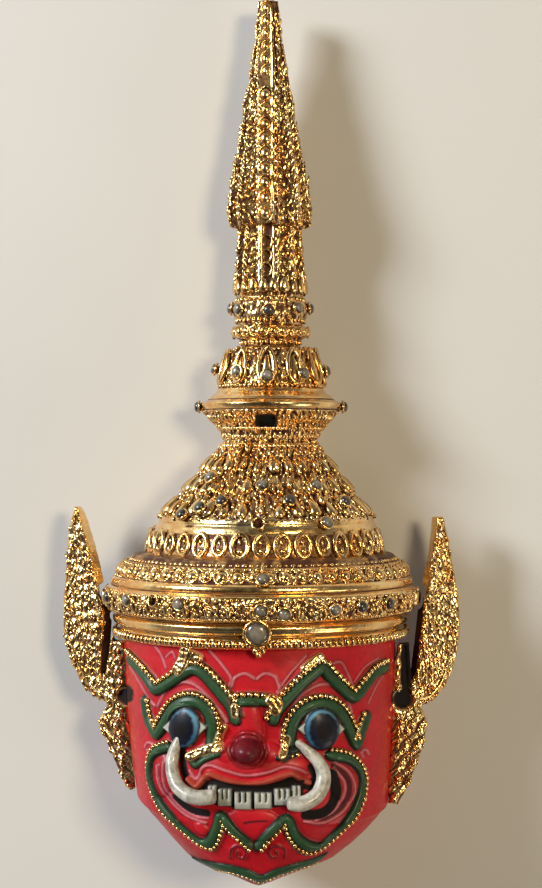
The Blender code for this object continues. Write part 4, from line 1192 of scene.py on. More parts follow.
def lineTree():
    # motifs strung along lines, each upright along its line
    tree = Grower("strung line", {"Spacing": "Float"})
    wire, square = tree.facing()
    curve = wire.node("GeometryNodeMeshToCurve", None, {"Mesh": tree.given["Start"]})
    even = wire.node("GeometryNodeResampleCurve", {"mode": "LENGTH"},
                     {"Curve": curve, "Length": tree.given["Spacing"]})
    tree.finish(even, tree.upright(square, wire.node("GeometryNodeInputTangent")))
    return tree


def spotTree():
    # one motif at each given point, upright
    tree = Grower("set spots", {})
    _, square = tree.facing()
    tree.finish(tree.given["Start"], tree.upright(square, (0.0, 1.0, 0.0)))
    return tree


def scatterTree():
    # grains strewn over a surface, never closer than a given distance, each turned a little
    tree = Grower("strewn grains", {"Apart": "Float", "Density": "Float", "Spin": "Float"})
    wire, given = tree.wire, tree.given
    chosen = wire.node("GeometryNodeInputNamedAttribute", {"data_type": "FLOAT"}, {"Name": "busy"})
    here = {"Mesh": given["Start"], "Selection": wire.math("GREATER_THAN", chosen, 0.5),
            "Distance Min": given["Apart"], "Density Max": given["Density"], "Seed": given["Seed"]}
    spread = wire.node("GeometryNodeDistributePointsOnFaces", {"distribute_method": "POISSON"}, here)
    normal = Wire(tree.tree, spread.socket.node.outputs["Normal"])
    square = wire.node("FunctionNodeAlignRotationToVector", {"axis": "Z"}, {"Vector": normal})
    upright = tree.upright(square, (0.0, 1.0, 0.0))
    spin = wire.node("FunctionNodeRandomValue", {"data_type": "FLOAT"},
                     {2: given["Spin"] * -1.0, 3: given["Spin"], "Seed": given["Seed"]}, 1)
    turn = wire.node("ShaderNodeCombineXYZ", None, {"Z": spin})
    euler = wire.node("FunctionNodeEulerToRotation", None, {"Euler": turn})
    rotation = wire.node("FunctionNodeRotateRotation", {"rotation_space": "LOCAL"},
                         {"Rotation": upright, "Rotate By": euler})
    tree.finish(spread, rotation)
    return tree


turnedRow, strungLine, setSpots, strewnGrains = rowTree(), lineTree(), spotTree(), scatterTree()


# The small shapes: drawn in millimetres, front towards +Z, upright along +Y

def smallShape(name, build):
    work = bmesh.new()
    build(work)
    bmesh.ops.remove_doubles(work, verts=work.verts, dist=1e-4)
    bmesh.ops.recalc_face_normals(work, faces=work.faces)
    bmesh.ops.scale(work, vec=(unit, unit, unit), verts=work.verts)
    mesh = bpy.data.meshes.new(name)
    work.to_mesh(mesh)
    work.free()
    mesh.attributes.new("cavity", "FLOAT", "POINT")
    mesh.attributes.new("bare", "FLOAT", "POINT")
    # dark at the foot, bright on top
    heights = np.array([v.co.z for v in mesh.vertices]) / unit
    deep = np.clip(0.9 - 2.2 * heights / (heights.max() + nearly), 0.0, 1.0)
    mesh.attributes["cavity"].data.foreach_set("value", deep.astype(np.float32))
    return linked(name, mesh)


def addBall(work, place, size, sides=8, rings=5):
    made = bmesh.ops.create_uvsphere(work, u_segments=sides, v_segments=rings, radius=0.5)["verts"]
    bmesh.ops.scale(work, vec=size, verts=made)
    bmesh.ops.translate(work, vec=place, verts=made)


def addTube(work, path, radius, sides=5, flat=1.0):
    # a closed loop of tube lying in the front plane
    rings = []
    count = len(path)
    for k in range(count):
        before, after = path[k - 1], path[(k + 1) % count]
        along = unitWays(np.array([after[0] - before[0], after[1] - before[1]]))
        ring = []
        for side in range(sides):
            turn = 2.0 * math.pi * side / sides
            out = radius * math.cos(turn)
            ring.append(work.verts.new((path[k][0] + along[1] * out, path[k][1] - along[0] * out,
                                        radius * flat * (math.sin(turn) + 0.4))))
        rings.append(ring)
    for low, high in zip(rings, rings[1:] + rings[:1]):
        for k in range(sides):
            after = (k + 1) % sides
            work.faces.new((low[k], low[after], high[after], high[k]))


def addLeaf(work, wide, tall, high, rows=6, across=5, foot=0.0):
    # a pointed leaf with a ridge; its foot is at y = foot
    rings = []
    for k in range(rows + 1):
        share = k / rows
        swell = 2.05 * share ** 0.42 * (1.0 - share) ** 0.75
        ring = []
        for side in np.linspace(-1.0, 1.0, across):
            rise = high * (1.0 - abs(side) ** 1.4) * (0.35 + 0.65 * swell) * min(1.0, swell * 3.0)
            ring.append(work.verts.new((0.5 * wide * swell * side, foot + tall * share, rise)))
        ring.append(work.verts.new((0.0, foot + tall * share, -0.25 * high)))
        rings.append(ring)
    for low, high_ring in zip(rings, rings[1:]):
        for k in range(across + 1):
            after = (k + 1) % (across + 1)
            work.faces.new((low[k], low[after], high_ring[after], high_ring[k]))


def ovalPath(wide, tall, count, point=0.12):
    turns = 2.0 * math.pi * np.arange(count) / count
    return [(0.5 * wide * math.cos(t), 0.5 * tall * (math.sin(t) + point * max(math.sin(t), 0.0) ** 6))
            for t in turns]


def buildFlower(work):
    addBall(work, (0.0, 0.0, 0.25), (0.75, 0.75, 0.6))
    for k in range(6):
        turn = 2.0 * math.pi * (k + 0.5) / 6
        addBall(work, (0.82 * math.cos(turn), 0.82 * math.sin(turn), 0.1), (0.72, 0.72, 0.5), 6, 4)


def buildPetal(work):
    addTube(work, ovalPath(2.3, 3.2, 16), 0.42)
    addBall(work, (0.05, -0.7, 0.2), (0.95, 0.95, 0.8))
    addBall(work, (-0.1, 0.6, 0.1), (0.6, 1.05, 0.6), 6, 4)


def buildArch(work):
    # a standing petal: a leaf with a thick bright edge
    addLeaf(work, 1.9, 5.2, 0.5, 7, 5, -2.6)
    addTube(work, ovalPath(2.6, 5.4, 18, 0.3), 0.44)


def buildCollet(work):
    addTube(work, ovalPath(2.25, 2.25, 18, 0.0), 0.2, 6, 1.5)


def buildBoss(work):
    addBall(work, (0.0, 0.0, 0.0), (1.45, 1.5, 1.1), 10, 6)
    addTube(work, ovalPath(1.9, 2.0, 12, 0.0), 0.16, 5, 1.0)


motifs = {
    "bead": smallShape("bead", lambda work: addBall(work, (0.0, 0.0, 0.0), (1.0, 1.0, 1.0))),
    "grain": smallShape("grain", lambda work: addBall(work, (0.0, 0.0, 0.0), (1.0, 1.0, 1.0), 6, 4)),
    "leaf": smallShape("leaf", lambda work: addLeaf(work, 1.0, 1.0, 0.3, 5, 5)),
    "flower": smallShape("flower", buildFlower),
    "petal": smallShape("petal", buildPetal),
    "arch": smallShape("arch", buildArch),
    "collet": smallShape("collet", buildCollet),
    "boss": smallShape("boss", buildBoss),
}
print("small shapes made")


def dressWith(piece, node="mask_shell"):
    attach(piece, "root")
    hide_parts(node)
    return piece


def ornament(motif, size, uneven, seed):
    # what every tree is told
    return {"Motif": motifs[motif], "Finish": giltShader, "Size": size, "Size variation": uneven,
            "Seed": seed}


# Ornament rows of the crown: motif, height, rise off the surface, count, sweep in degrees, size, unevenness
crownRows = {
    "rim_beads": ("bead", -34.55, 0.3, 78, 196.0, (1.12, 1.5, 1.1), 0.14),
    "band_foot_beads": ("grain", -30.5, 0.0, 100, 196.0, (0.78, 0.66, 0.6), 0.25),
    "band_flowers": ("flower", -28.85, 0.1, 25, 193.0, (1.0, 1.1, 1.0), 0.12),
    "band_leaves": ("leaf", -30.3, 0.25, 26, 197.0, (1.3, 2.7, 2.2), 0.2),
    "band_top_beads": ("grain", -27.25, 0.0, 100, 196.0, (0.75, 0.62, 0.55), 0.25),
    "upper_bosses": ("boss", -23.75, 0.05, 33, 194.0, (1.15, 1.2, 1.1), 0.18),
    "upper_beads": ("grain", -22.65, 0.05, 84, 194.0, (0.8, 0.75, 0.66), 0.25),
    "petals": ("petal", -19.1, 0.0, 20, 190.0, (1.08, 1.12, 0.95), 0.12),
    "cone_leaves_low": ("leaf", -14.7, 0.1, 19, 187.0, (2.4, 4.2, 2.8), 0.2),
    "cone_leaves_middle": ("leaf", -11.0, 0.1, 17, 182.0, (2.2, 4.0, 2.8), 0.2),
    "cone_leaves_high": ("leaf", -7.4, 0.1, 14, 178.0, (2.0, 4.0, 2.6), 0.2),
    "neck_beads": ("grain", -2.5, 0.1, 36, 196.0, (0.9, 1.0, 0.8), 0.25),
    "neck_upper_beads": ("grain", -0.9, 0.0, 40, 196.0, (0.8, 0.8, 0.7), 0.3),
    "ring_tears": ("bead", 2.2, 0.05, 36, 196.0, (1.05, 2.2, 0.95), 0.2),
    "ring_beads": ("grain", 0.5, 0.1, 48, 196.0, (0.8, 0.8, 0.7), 0.25),
    "ledge_beads": ("grain", -22.0, 0.0, 70, 194.0, (0.9, 0.6, 0.45), 0.35),
    "drum_petals": ("arch", 10.8, 0.1, 7, 198.0, (1.0, 1.0, 0.9), 0.08),
    "drum_foot_beads": ("grain", 7.9, 0.1, 34, 196.0, (0.95, 0.9, 0.7), 0.25),
}
# how far a row is turned from the middle, and half the gap it leaves at the dark slot, in degrees
crownTurns = {"petals": -3.3, "band_leaves": -3.8, "drum_petals": -2.0}
crownGaps = {"ring_tears": 11.0}
slotAngle = float(onMask(ringSlot["at"], turnedRadius)[0])


def crownSlope(y, reach=1.2):
    return (table(form["crown"], y + reach) - table(form["crown"], y - reach)) / (2.0 * reach)


def growRow(name, profile, row, seed, slope=0.0, turn=0.0, gap=-1.0):
    # turn and gap are in degrees; a gap below 0 leaves nothing out
    motif, y, rise, count, sweep, size, uneven = row
    values = {
        **ornament(motif, size, uneven, seed), "Count": count, "Height": y * unit,
        "Radius": float(table(form[profile], y) + rise) * unit, "Lean": float(leanAt(y)) * unit,
        "Axis": form["axisHeight"] * unit, "Slope": slope, "Sweep": math.radians(sweep),
        "Phase": math.radians(turn), "Gap at": slotAngle, "Gap": math.radians(gap),
    }
    dressWith(turnedRow.grow(name, bpy.data.meshes.new(name), values))


for number, (name, row) in enumerate(crownRows.items()):
    motif, y, tall = row[0], row[1], row[5][1]
    middle = y + (0.5 * tall if motif == "leaf" else 0.0)
    reach = max(0.5 * tall, 0.4) if motif in ("leaf", "petal", "arch") else 0.5
    slope = math.atan(crownSlope(middle, reach))
    growRow(name, "crown", row, number, slope, crownTurns.get(name, 0.0), crownGaps.get(name, -1.0))
print("crown rows made")


def lineMesh(name, lines, outwards):
    # edges through points, with the way outwards kept at each
    points = np.vstack(lines)
    mesh = bpy.data.meshes.new(name)
    edges, run = [], 0
    for line in lines:
        edges += [(run + k, run + k + 1) for k in range(len(line) - 1)]
        run += len(line)
    mesh.from_pydata((points * unit).tolist(), edges, [])
    layer = mesh.attributes.new("outward", "FLOAT_VECTOR", "POINT")
    layer.data.foreach_set("vector", np.vstack(outwards).astype(np.float32).ravel())
    return mesh


def spotsMesh(name, places, outwards):
    mesh = bpy.data.meshes.new(name)
    mesh.from_pydata((np.array(places) * unit).tolist(), [], [])
    layer = mesh.attributes.new("outward", "FLOAT_VECTOR", "POINT")
    layer.data.foreach_set("vector", np.array(outwards, np.float32).ravel())
    return mesh


def growSpots(name, values, places, outwards):
    dressWith(setSpots.grow(name, spotsMesh(name, places, outwards), values))


def beadLine(name, side, offset, size, spacing, rise):
    line = np.array(unrolledLine(faceLines[name]))
    along = unitWays(np.gradient(line, axis=0))
    place = line + side * offset * np.stack([along[:, 1], -along[:, 0]], -1)
    angle = place[:, 0] / form["unrollRadius"]
    y = np.clip(place[:, 1], form["chinY"] + 0.2, form["rimY"] - 0.1)
    points = surfacePoint(angle, y, radiusAt(angle, y) + rise)
    outward = np.stack([np.sin(angle), 0.0 * angle, np.cos(angle)], -1)
    values = {**ornament("bead", size, 0.16, 5), "Spacing": spacing * unit}
    return strungLine.grow(f"{name}_beads", lineMesh(name, [points], [outward]), values)


for name, values in faceBeads.items():
    dressWith(beadLine(name, *values))
print("face beads made")

# The spire: a redented square taper with a proud rib down each face

spire = {"from": 13.4, "to": 75.0, "carved": (14.95, 74.0), "roundTop": 24.0, "squareFoot": 26.0,
         "rib": 1.75, "ribShare": 0.62, "redent": 0.74, "slotTop": 36.0, "grainTop": 72.0, "rows": 310,
         "columns": 54}


def spireSteps(radius):
    # half width of the rib, and how far out the corner stands
    rib = np.minimum(spire["rib"], spire["ribShare"] * radius)
    return rib, np.maximum(spire["redent"] * radius, 1.02 * rib + 0.12)


def spireRing(radius, square):
    # one level of the spire, round where square is 0 and redented where it is 1
    rib, corner = spireSteps(radius)
    outline = np.array([(0.0, radius), (rib, radius), (rib, corner), (corner, corner), (corner, rib),
                        (radius, rib), (radius, 0.0)])
    lengths = np.concatenate([[0.0], np.cumsum(np.linalg.norm(np.diff(outline, axis=0), axis=1))])
    share = np.linspace(0.0, 1.0, spire["columns"], endpoint=False)
    turn = 0.5 * math.pi * share
    side = np.interp(share * lengths[-1], lengths, outline[:, 0])
    ahead = np.interp(share * lengths[-1], lengths, outline[:, 1])
    side = square * side + (1.0 - square) * radius * np.sin(turn)
    ahead = square * ahead + (1.0 - square) * radius * np.cos(turn)
    quarters = []
    for quarter in range(4):
        c, s = math.cos(0.5 * math.pi * quarter), math.sin(0.5 * math.pi * quarter)
        quarters.append(np.stack([c * side + s * ahead, -s * side + c * ahead], -1))
    return np.vstack(quarters)


def ribCarving(row, beside):
    # relief and hollows of the front rib, from its left edge at -1 to its right edge at 1; the groove down
    # its right is sunk and painted dark as the ridge's shadow, and low down its right part is painted darker
    # as shade
    if row > spire["slotTop"]:
        ridge = step(0.3, 0.4, beside) * step(0.75, 0.62, beside)
        groove = step(0.7, 0.8, beside)
        rise = (0.12 + 0.2 * rolling(row, 0.0, 0.8, 7)) * ridge - 0.3 * groove
        return rise, (0.6 * (1.0 - ridge)) * (1.0 - groove) + 0.95 * groove
    strip = step(-0.5, -0.62, beside)
    sunk = step(-0.5, -0.38, beside) * step(0.45, 0.3, beside)
    return 0.22 * strip - 0.5 * sunk, 0.95 * sunk + 0.3 * step(0.3, 0.45, beside)


def spireCarving(row, radius, ring, square):
    # relief, hollows and where grains lie, for one level
    around = np.arange(len(ring)) / len(ring) * 2.0 * math.pi * radius * 1.15
    level = np.full(len(ring), row)
    grain, _ = grains(around, level, 0.62, 1.25, 51)
    fine, _ = grains(around, level, 0.45, 0.45, 57)
    beside = ring[:, 0] / spireSteps(radius)[0]
    onRib = (np.abs(beside) < 1.0) & (ring[:, 1] > 0.8 * radius) & (square > 0.5)
    ribRise, ribCavity = ribCarving(row, beside)
    rise = np.where(onRib, ribRise, 0.4 * (1.0 - grain) + 0.1 * (1.0 - fine) - 0.25)
    cavity = np.where(onRib, ribCavity, step(0.24, 0.66, grain))
    empty = onRib | (ring[:, 1] < -0.3) | (square < 0.5) | (row > spire["grainTop"])
    return rise, cavity, np.where(empty, 0.0, 1.0)


def makeSpire():
    points, cavities, busies = [], [], []
    for row in np.linspace(spire["from"], spire["to"], spire["rows"]):
        radius = float(table(form["spire"], row))
        square = float(np.interp(row, (spire["roundTop"], spire["squareFoot"]), (0.0, 1.0)))
        ring = spireRing(radius, square)
        rise, cavity, busy = spireCarving(row, radius, ring, square)
        carved = spire["carved"][0] < row < spire["carved"][1]
        place = ring + unitWays(ring) * (rise * carved)[:, None]
        height = np.maximum(form["axisHeight"] + place[:, 1], 0.0)
        points.append(np.stack([float(leanAt(row)) + place[:, 0], np.full(len(ring), row), height], -1))
        cavities.append(cavity)
        busies.append(busy)
    points = np.vstack(points)
    at, faces = ringFaces(len(points), 4 * spire["columns"])
    faces += [at[0].tolist(), at[-1].tolist()]
    values = {"cavity": np.concatenate(cavities), "busy": np.concatenate(busies),
              "bare": np.zeros(len(points))}
    return meshPiece("spire", points, faces, values, giltShader)


dressWith(makeSpire())

# Beads and small spikes up the edges of the spire: edge, motif, size, spacing, outward tilt, from, to
spireEdges = {
    "spire_corner_spikes": ("corner", "leaf", (1.0, 1.9, 1.5), 1.55, 0.4, 26.2, 58.0),
    "spire_corner_tips": ("corner", "grain", (0.55, 1.2, 0.5), 1.2, 0.2, 58.5, 73.5),
    "spire_rib_beads": ("rib", "grain", (0.5, 1.05, 0.5), 1.12, 0.0, 26.2, 73.5),
    "spire_side_beads": ("side", "grain", (0.55, 1.15, 0.55), 1.2, 0.0, 26.2, 58.0),
    "spire_inner_beads": ("inner", "grain", (0.55, 1.2, 0.5), 1.3, 0.0, 26.2, 58.0),
    "spire_side_spikes": ("flank", "leaf", (0.9, 1.7, 1.3), 1.45, 0.4, 26.2, 58.0),
    "spire_side_tips": ("flank", "grain", (0.5, 1.15, 0.45), 1.2, 0.2, 58.5, 73.5),
}
spireInset = 0.5


def spireEdge(which, y):
    radius = table(form["spire"], y)
    rib, corner = spireSteps(radius)
    return {"corner": (corner, corner), "rib": (rib, radius), "side": (0.5 * (rib + corner), corner),
            "inner": (corner, 0.5 * (rib + corner)), "flank": (radius, rib)}[which]


for number, (name, (which, motif, size, spacing, tilt, low, high)) in enumerate(spireEdges.items()):
    lines, outwards = [], []
    y = np.linspace(low, high, 200)
    across, ahead = (reach - spireInset for reach in spireEdge(which, y))
    for side in (-1.0, 1.0):
        for turn in (0.0, -0.5 * math.pi * side, 0.5 * math.pi * side):
            x = side * across * math.cos(turn) + ahead * math.sin(turn)
            z = -side * across * math.sin(turn) + ahead * math.cos(turn)
            if z.min() < -0.2:
                continue
            lines.append(np.stack([leanAt(y) + x, y, form["axisHeight"] + z], -1))
            length = np.hypot(x, z)
            outwards.append(np.stack([x / length, -tilt + 0.0 * y, z / length], -1))
    values = {**ornament(motif, size, 0.2, number), "Spacing": spacing * unit}
    dressWith(strungLine.grow(name, lineMesh(name, lines, outwards), values))

spireRows = {
    "collar_bosses": ("boss", 17.25, 0.0, 14, 200.0, (0.95, 0.9, 0.8), 0.12),
    "collar_foot_beads": ("grain", 15.4, 0.1, 22, 200.0, (0.75, 0.8, 0.7), 0.2),
    "collar_beads": ("grain", 19.2, 0.1, 20, 200.0, (0.8, 0.9, 0.7), 0.2),
    "collar_upper_beads": ("grain", 22.8, 0.0, 22, 200.0, (0.7, 0.9, 0.7), 0.2),
    "collar_leaves": ("leaf", 23.6, 0.2, 12, 200.0, (2.4, 3.0, 2.2), 0.1),
}
for number, (name, row) in enumerate(spireRows.items()):
    growRow(name, "spire", row, 40 + number)
# Bosses and rings down the front rib: motif, from, to, spacing, size
ribSpots = {
    "rib_rings": ("collet", 27.8, 35.0, 2.4, (0.85, 1.0, 0.8)),
    "rib_bosses": ("boss", 37.3, 60.5, 2.6, (1.25, 1.5, 1.3)),
    "rib_tip_bosses": ("boss", 62.4, 73.8, 2.25, (0.8, 1.2, 0.9)),
}
for number, (name, (motif, low, high, spacing, size)) in enumerate(ribSpots.items()):
    y = np.arange(low, high, spacing)
    radius = table(form["spire"], y)
    x = leanAt(y) - 0.22 * spireSteps(radius)[0]
    places = np.stack([x, y, form["axisHeight"] + radius - 0.1], -1)
    ahead = np.tile((0.0, 0.0, 1.0), (len(y), 1))
    growSpots(name, ornament(motif, size, 0.12, 60 + number), places, ahead)
print("spire made")

# Stones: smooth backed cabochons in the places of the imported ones, each in a thin collet

darkStones = ("stone_band_1", "stone_band_7", "stone_band_8", "stone_cone_2", "stone_cone_3", "stone_cone_4",
              "stone_cone_5", "stone_cone_6", "stone_ring_1", "stone_ring_2", "stone_collar_3")


def nodePoints(name):
    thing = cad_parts[name]
    return np.array([thing.matrix_world @ v.co for v in thing.data.vertices]) / unit


def stoneFrame(name):
    # middle of the foot, way outwards, radius and height of a packed stone
    points = nodePoints(name)
    middle = points.mean(axis=0)
    _, ways = np.linalg.eigh(np.cov((points - middle).T))
    outward = ways[:, 0]
    away = middle - np.array([float(leanAt(middle[1])), middle[1], form["axisHeight"]])
    outward = outward if outward @ away > 0.0 else -outward
    heights = (points - middle) @ outward
    radius = np.linalg.norm((points - middle) - heights[:, None] * outward, axis=1).max()
    return middle + outward * heights.min(), outward, radius, heights.max() - heights.min()


stoneDome = {"sides": 18, "levels": 6, "share": 0.985, "roundness": 0.8, "foot": 0.12, "top": 0.86}


def makeStone(name):
    foot, outward, radius, height = stoneFrame(name)
    sides, levels = stoneDome["sides"], stoneDome["levels"]
    across = unitWays(np.cross(outward, [0.0, 1.0, 0.0]))
    angle = 2.0 * math.pi * np.arange(sides) / sides
    circle = np.outer(np.cos(angle), across) + np.outer(np.sin(angle), np.cross(across, outward))
    circle = stoneDome["share"] * radius * circle
    rings = [foot + circle]
    for level in range(levels + 1):
        turn = 0.5 * math.pi * level / levels
        rise = height * (stoneDome["foot"] + stoneDome["top"] * math.sin(turn))
        rings.append(foot + circle * math.cos(turn) ** stoneDome["roundness"] + outward * rise)
    points = np.vstack(rings)
    along = np.repeat([0.0, *np.linspace(0.0, 1.0, levels + 1)], sides)
    at, faces = ringFaces(len(points), sides)
    faces.append(at[0].tolist())
    dark = np.full(len(points), 1.0 if name in darkStones else 0.0)
    return meshPiece(f"{name}_dome", points, faces, {"along": along, "dark": dark}, stoneShader)


stoneNames = [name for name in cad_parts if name.startswith("stone")]
for name in stoneNames:
    dressWith(makeStone(name), name)


def crownSpot(pixel, rise):
    angle, y = onMask(pixel, turnedRadius)
    outward = np.array([math.sin(angle), -crownSlope(y), math.cos(angle)])
    return surfacePoint(angle, y, table(form["crown"], y) + rise), unitWays(outward)


def crownSpots(pixels, rise):
    # places and ways outwards
    return zip(*[crownSpot(pixel, rise) for pixel in pixels])


# Collets round the stones and the lost stones, and a bead below each stone that joins it to the crown
colletLook = {"size": (0.92, 0.92, 0.9), "rimSize": (1.72, 1.72, 1.3), "rootSize": (1.75, 1.75, 1.6),
              "uneven": 0.05, "sunk": 0.15, "rimSunk": 0.2, "rootSunk": 0.75, "lostRise": 0.35}
feet, ways = zip(*[stoneFrame(name)[:2] for name in stoneNames if name != "stone_rim"])
feet, ways = np.array(feet), np.array(ways)
lostPlaces, lostWays = crownSpots(lostStones, colletLook["lostRise"])
growSpots("collets", ornament("collet", colletLook["size"], colletLook["uneven"], 3),
          [*(feet - colletLook["sunk"] * ways), *lostPlaces], [*ways, *lostWays])
growSpots("collet_roots", ornament("bead", colletLook["rootSize"], colletLook["uneven"], 3),
          feet - colletLook["rootSunk"] * ways, ways)
rimFoot, rimWay, _, _ = stoneFrame("stone_rim")
growSpots("rim_collet", ornament("collet", colletLook["rimSize"], colletLook["uneven"], 3),
          [rimFoot - colletLook["rimSunk"] * rimWay], [rimWay])

# Flames over the stones of the cone, and the drop below the rim stone
flamePixels = ((190, 506), (229.6, 490), (289, 491), (264, 477), (299, 477), (261, 517), (245, 470),
               (252, 468), (238, 466), (332, 474), (343, 494), (357, 512), (203, 487), (213, 494),
               (277, 474), (314, 470), (321, 507), (248, 505), (275, 508), (302, 512), (262.5, 575),
               (243, 480), (236, 474), (249, 478), (240, 457), (248, 455), (262, 505), (221, 478),
               (205, 506), (273, 494))
dropPixels = ((259, 646.5), (255.3, 650.5), (262.6, 650.5), (258.8, 654.5))
growSpots("cone_flames", ornament("leaf", (1.05, 2.7, 2.8), 0.25, 8), *crownSpots(flamePixels, 0.6))
growSpots("rim_drop", ornament("bead", (1.15, 1.3, 1.1), 0.1, 2), *crownSpots(dropPixels, 0.6))
print("stones made")

# Grains strewn over the carved parts: size, distance apart, turn
strewn = {
    "crown_bands": ((0.66, 0.9, 0.6), 0.8, 1.2), "crown_cone": ((0.58, 1.25, 0.7), 0.85, 0.5),
    "crown_ring": ((0.55, 0.95, 0.6), 0.85, 0.5), "spire": ((0.5, 1.15, 0.6), 0.85, 0.3),
    "ear_ornament_left_cast": ((0.5, 1.1, 0.6), 0.78, 0.9),
    "ear_ornament_right_cast": ((0.5, 1.1, 0.6), 0.78, 0.9),
}


def strewOn(name):
    size, apart, turn = strewn[name]
    values = {**ornament("grain", size, 0.35, 9), "Apart": apart * unit, "Spin": turn,
              "Density": 3.0 / (apart * unit) ** 2}
    return strewnGrains.grow(f"{name}_grains", bpy.data.objects[name].data, values)


for name in ("crown_bands", "crown_cone", "crown_ring", "spire"):
    dressWith(strewOn(name))
print("grains strewn")


# Ears, re-meshed finely from the imported solids

remeshed = {"voxel": 0.2, "smooth": 2}


def remesh(name, values):
    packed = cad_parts[name]
    host = linked(name, packed.data.copy())
    host.matrix_world = packed.matrix_world
    finer = host.modifiers.new("finer", "REMESH")
    finer.mode = "VOXEL"
    finer.voxel_size = values["voxel"] * unit
    softer = host.modifiers.new("softer", "SMOOTH")
    softer.iterations = values["smooth"]
    graph = bpy.context.evaluated_depsgraph_get()
    mesh = bpy.data.meshes.new_from_object(host.evaluated_get(graph), depsgraph=graph)
    points = np.array([host.matrix_world @ v.co for v in mesh.vertices]) / unit
    faces = [list(face.vertices) for face in mesh.polygons]
    normals = np.array([v.normal for v in mesh.vertices])
    bpy.data.objects.remove(host)
    bpy.data.meshes.remove(mesh)
    return points, faces, normals


# In picture pixels: the outlines, the round hole with its size, and the left, right, top and bottom of the
# slit painted black as shadow beside the ear;
# edges has heights, where the outer and inner edges are, and how far each is moved
earOutlines = {
    "ear_ornament_left": {
        "side": -1.0,
        "outer": ((83, 508), (77, 507), (70, 540), (66, 575), (63, 600), (63.5, 632), (70, 665),
                  (82, 688), (95, 700), (106, 704)),
        "inner": ((109, 681), (105, 672), (108, 640), (110, 612), (107, 590), (102, 565), (95, 535),
                  (83, 508)),
        "edges": ((507, 80, 94, -5.5, -12.0), (512, 80, 95, -6.0, -10.5), (520, 78, 97, -7.0, -8.5),
                  (545, 74, 100, -6.0, -6.0), (579, 69, 107, -4.3, -4.8), (610, 68, 112, -4.5, 0.0),
                  (638, 70, 112, -5.5, 0.0), (670, 75, 112, -2.8, 0.0), (690, 88, 112, -3.2, 0.0),
                  (705, 98, 112, 0.0, 0.0), (722, 101, 126, -1.5, 0.0), (737, 108, 127, -3.0, 0.0),
                  (757, 118, 129, -4.0, 0.0), (777, 127, 132, -5.0, 0.0), (785, 131, 134, -5.0, 0.0),
                  (800, 136, 138, -4.0, 0.0)),
        "hole": ((126.0, 697.0), (9.0, 9.0)),
        "gap": (112.0, 118.5, 620.0, 643.0),
    },
    "ear_ornament_right": {
        "side": 1.0,
        "outer": ((434, 518), (441, 517), (448, 545), (455, 575), (459, 600), (459, 640), (455, 670),
                  (447, 690), (435, 703), (422, 707)),
        "inner": ((405, 684), (409, 672), (411, 640), (414, 600), (419, 575), (423, 555), (434, 518)),
        "edges": ((518, 440, 427, 3.0, 5.0), (535, 444, 423, 3.0, 6.0), (554, 450, 421, 1.5, 6.0),
                  (574, 453, 418, 1.0, 5.5), (614, 456, 415, 2.5, 4.5), (634, 456, 412, 2.5, 4.0),
                  (653, 455, 411, 1.5, 3.0), (673, 453, 410, 0.0, 1.5), (693, 445, 405, -1.0, 0.0),
                  (722, 427, 393, 0.5, 1.0), (752, 415, 391, 6.0, 3.5), (782, 402, 387, 8.0, 3.5),
                  (806, 393, 384, 5.0, 3.5)),
        "hole": ((403.0, 700.0), (11.0, 9.5)),
        "gap": (401.0, 413.0, 624.0, 707.0),
    },
}


# both ears, in picture pixels: where each kind of carving starts and is full; holes are sunk in millimetres
earCarved = {
    "leaf": (714.0, 722.0), "ridge": (640.0, 655.0), "ridgeInset": 8.5, "edge": (598.0, 588.0),
    "edgeWidth": (6.5, 4.5), "shadowTop": (584.0, 600.0), "shadowFoot": (712.0, 700.0), "holeDepth": 0.8,
}


def drawnIn(points, px, py, edges):
    # move the edges to where the picture has them
    rows, outer, inner, outerMove, innerMove = zip(*edges)
    fromEdge, toEdge = np.interp(py, rows, outer), np.interp(py, rows, inner)
    share = np.clip((px - fromEdge) / (toEdge - fromEdge), 0.0, 1.0)
    move = np.interp(py, rows, outerMove) * (1.0 - share) + np.interp(py, rows, innerMove) * share
    points[:, 0] += move * front["pixel"]


def ontoFace(points):
    # what lies close beside the face is glued to it
    y = points[:, 1]
    across, ahead = points[:, 0] - leanAt(y), points[:, 2] - sectionCentre(y)
    angle = np.arctan2(across, ahead)
    gap = np.hypot(across, ahead) - radiusAt(angle, np.minimum(y, form["rimY"]))
    foot = form["undersideY"] + 0.4
    close = step(1.5, 0.7, gap) * (y < form["rimY"] + 1.0) * step(foot, foot + 1.8, y)
    points[:, 0] -= np.sin(angle) * (gap + 0.03) * close
    return close


def earHole(lines, px, py):
    # the round hole, sunk and painted black as shade, and the slit, painted black as the shadow beside the
    # ear
    hole = step(1.1, 0.85, inEllipse(px, py, *lines["hole"]))
    left, right, top, bottom = lines["gap"]
    gap = step(left, left + 1.5, px) * step(right, right - 1.5, px) * step(top, top + 8.0, py)
    return np.maximum(hole, gap * step(bottom, bottom - 4.0, py))


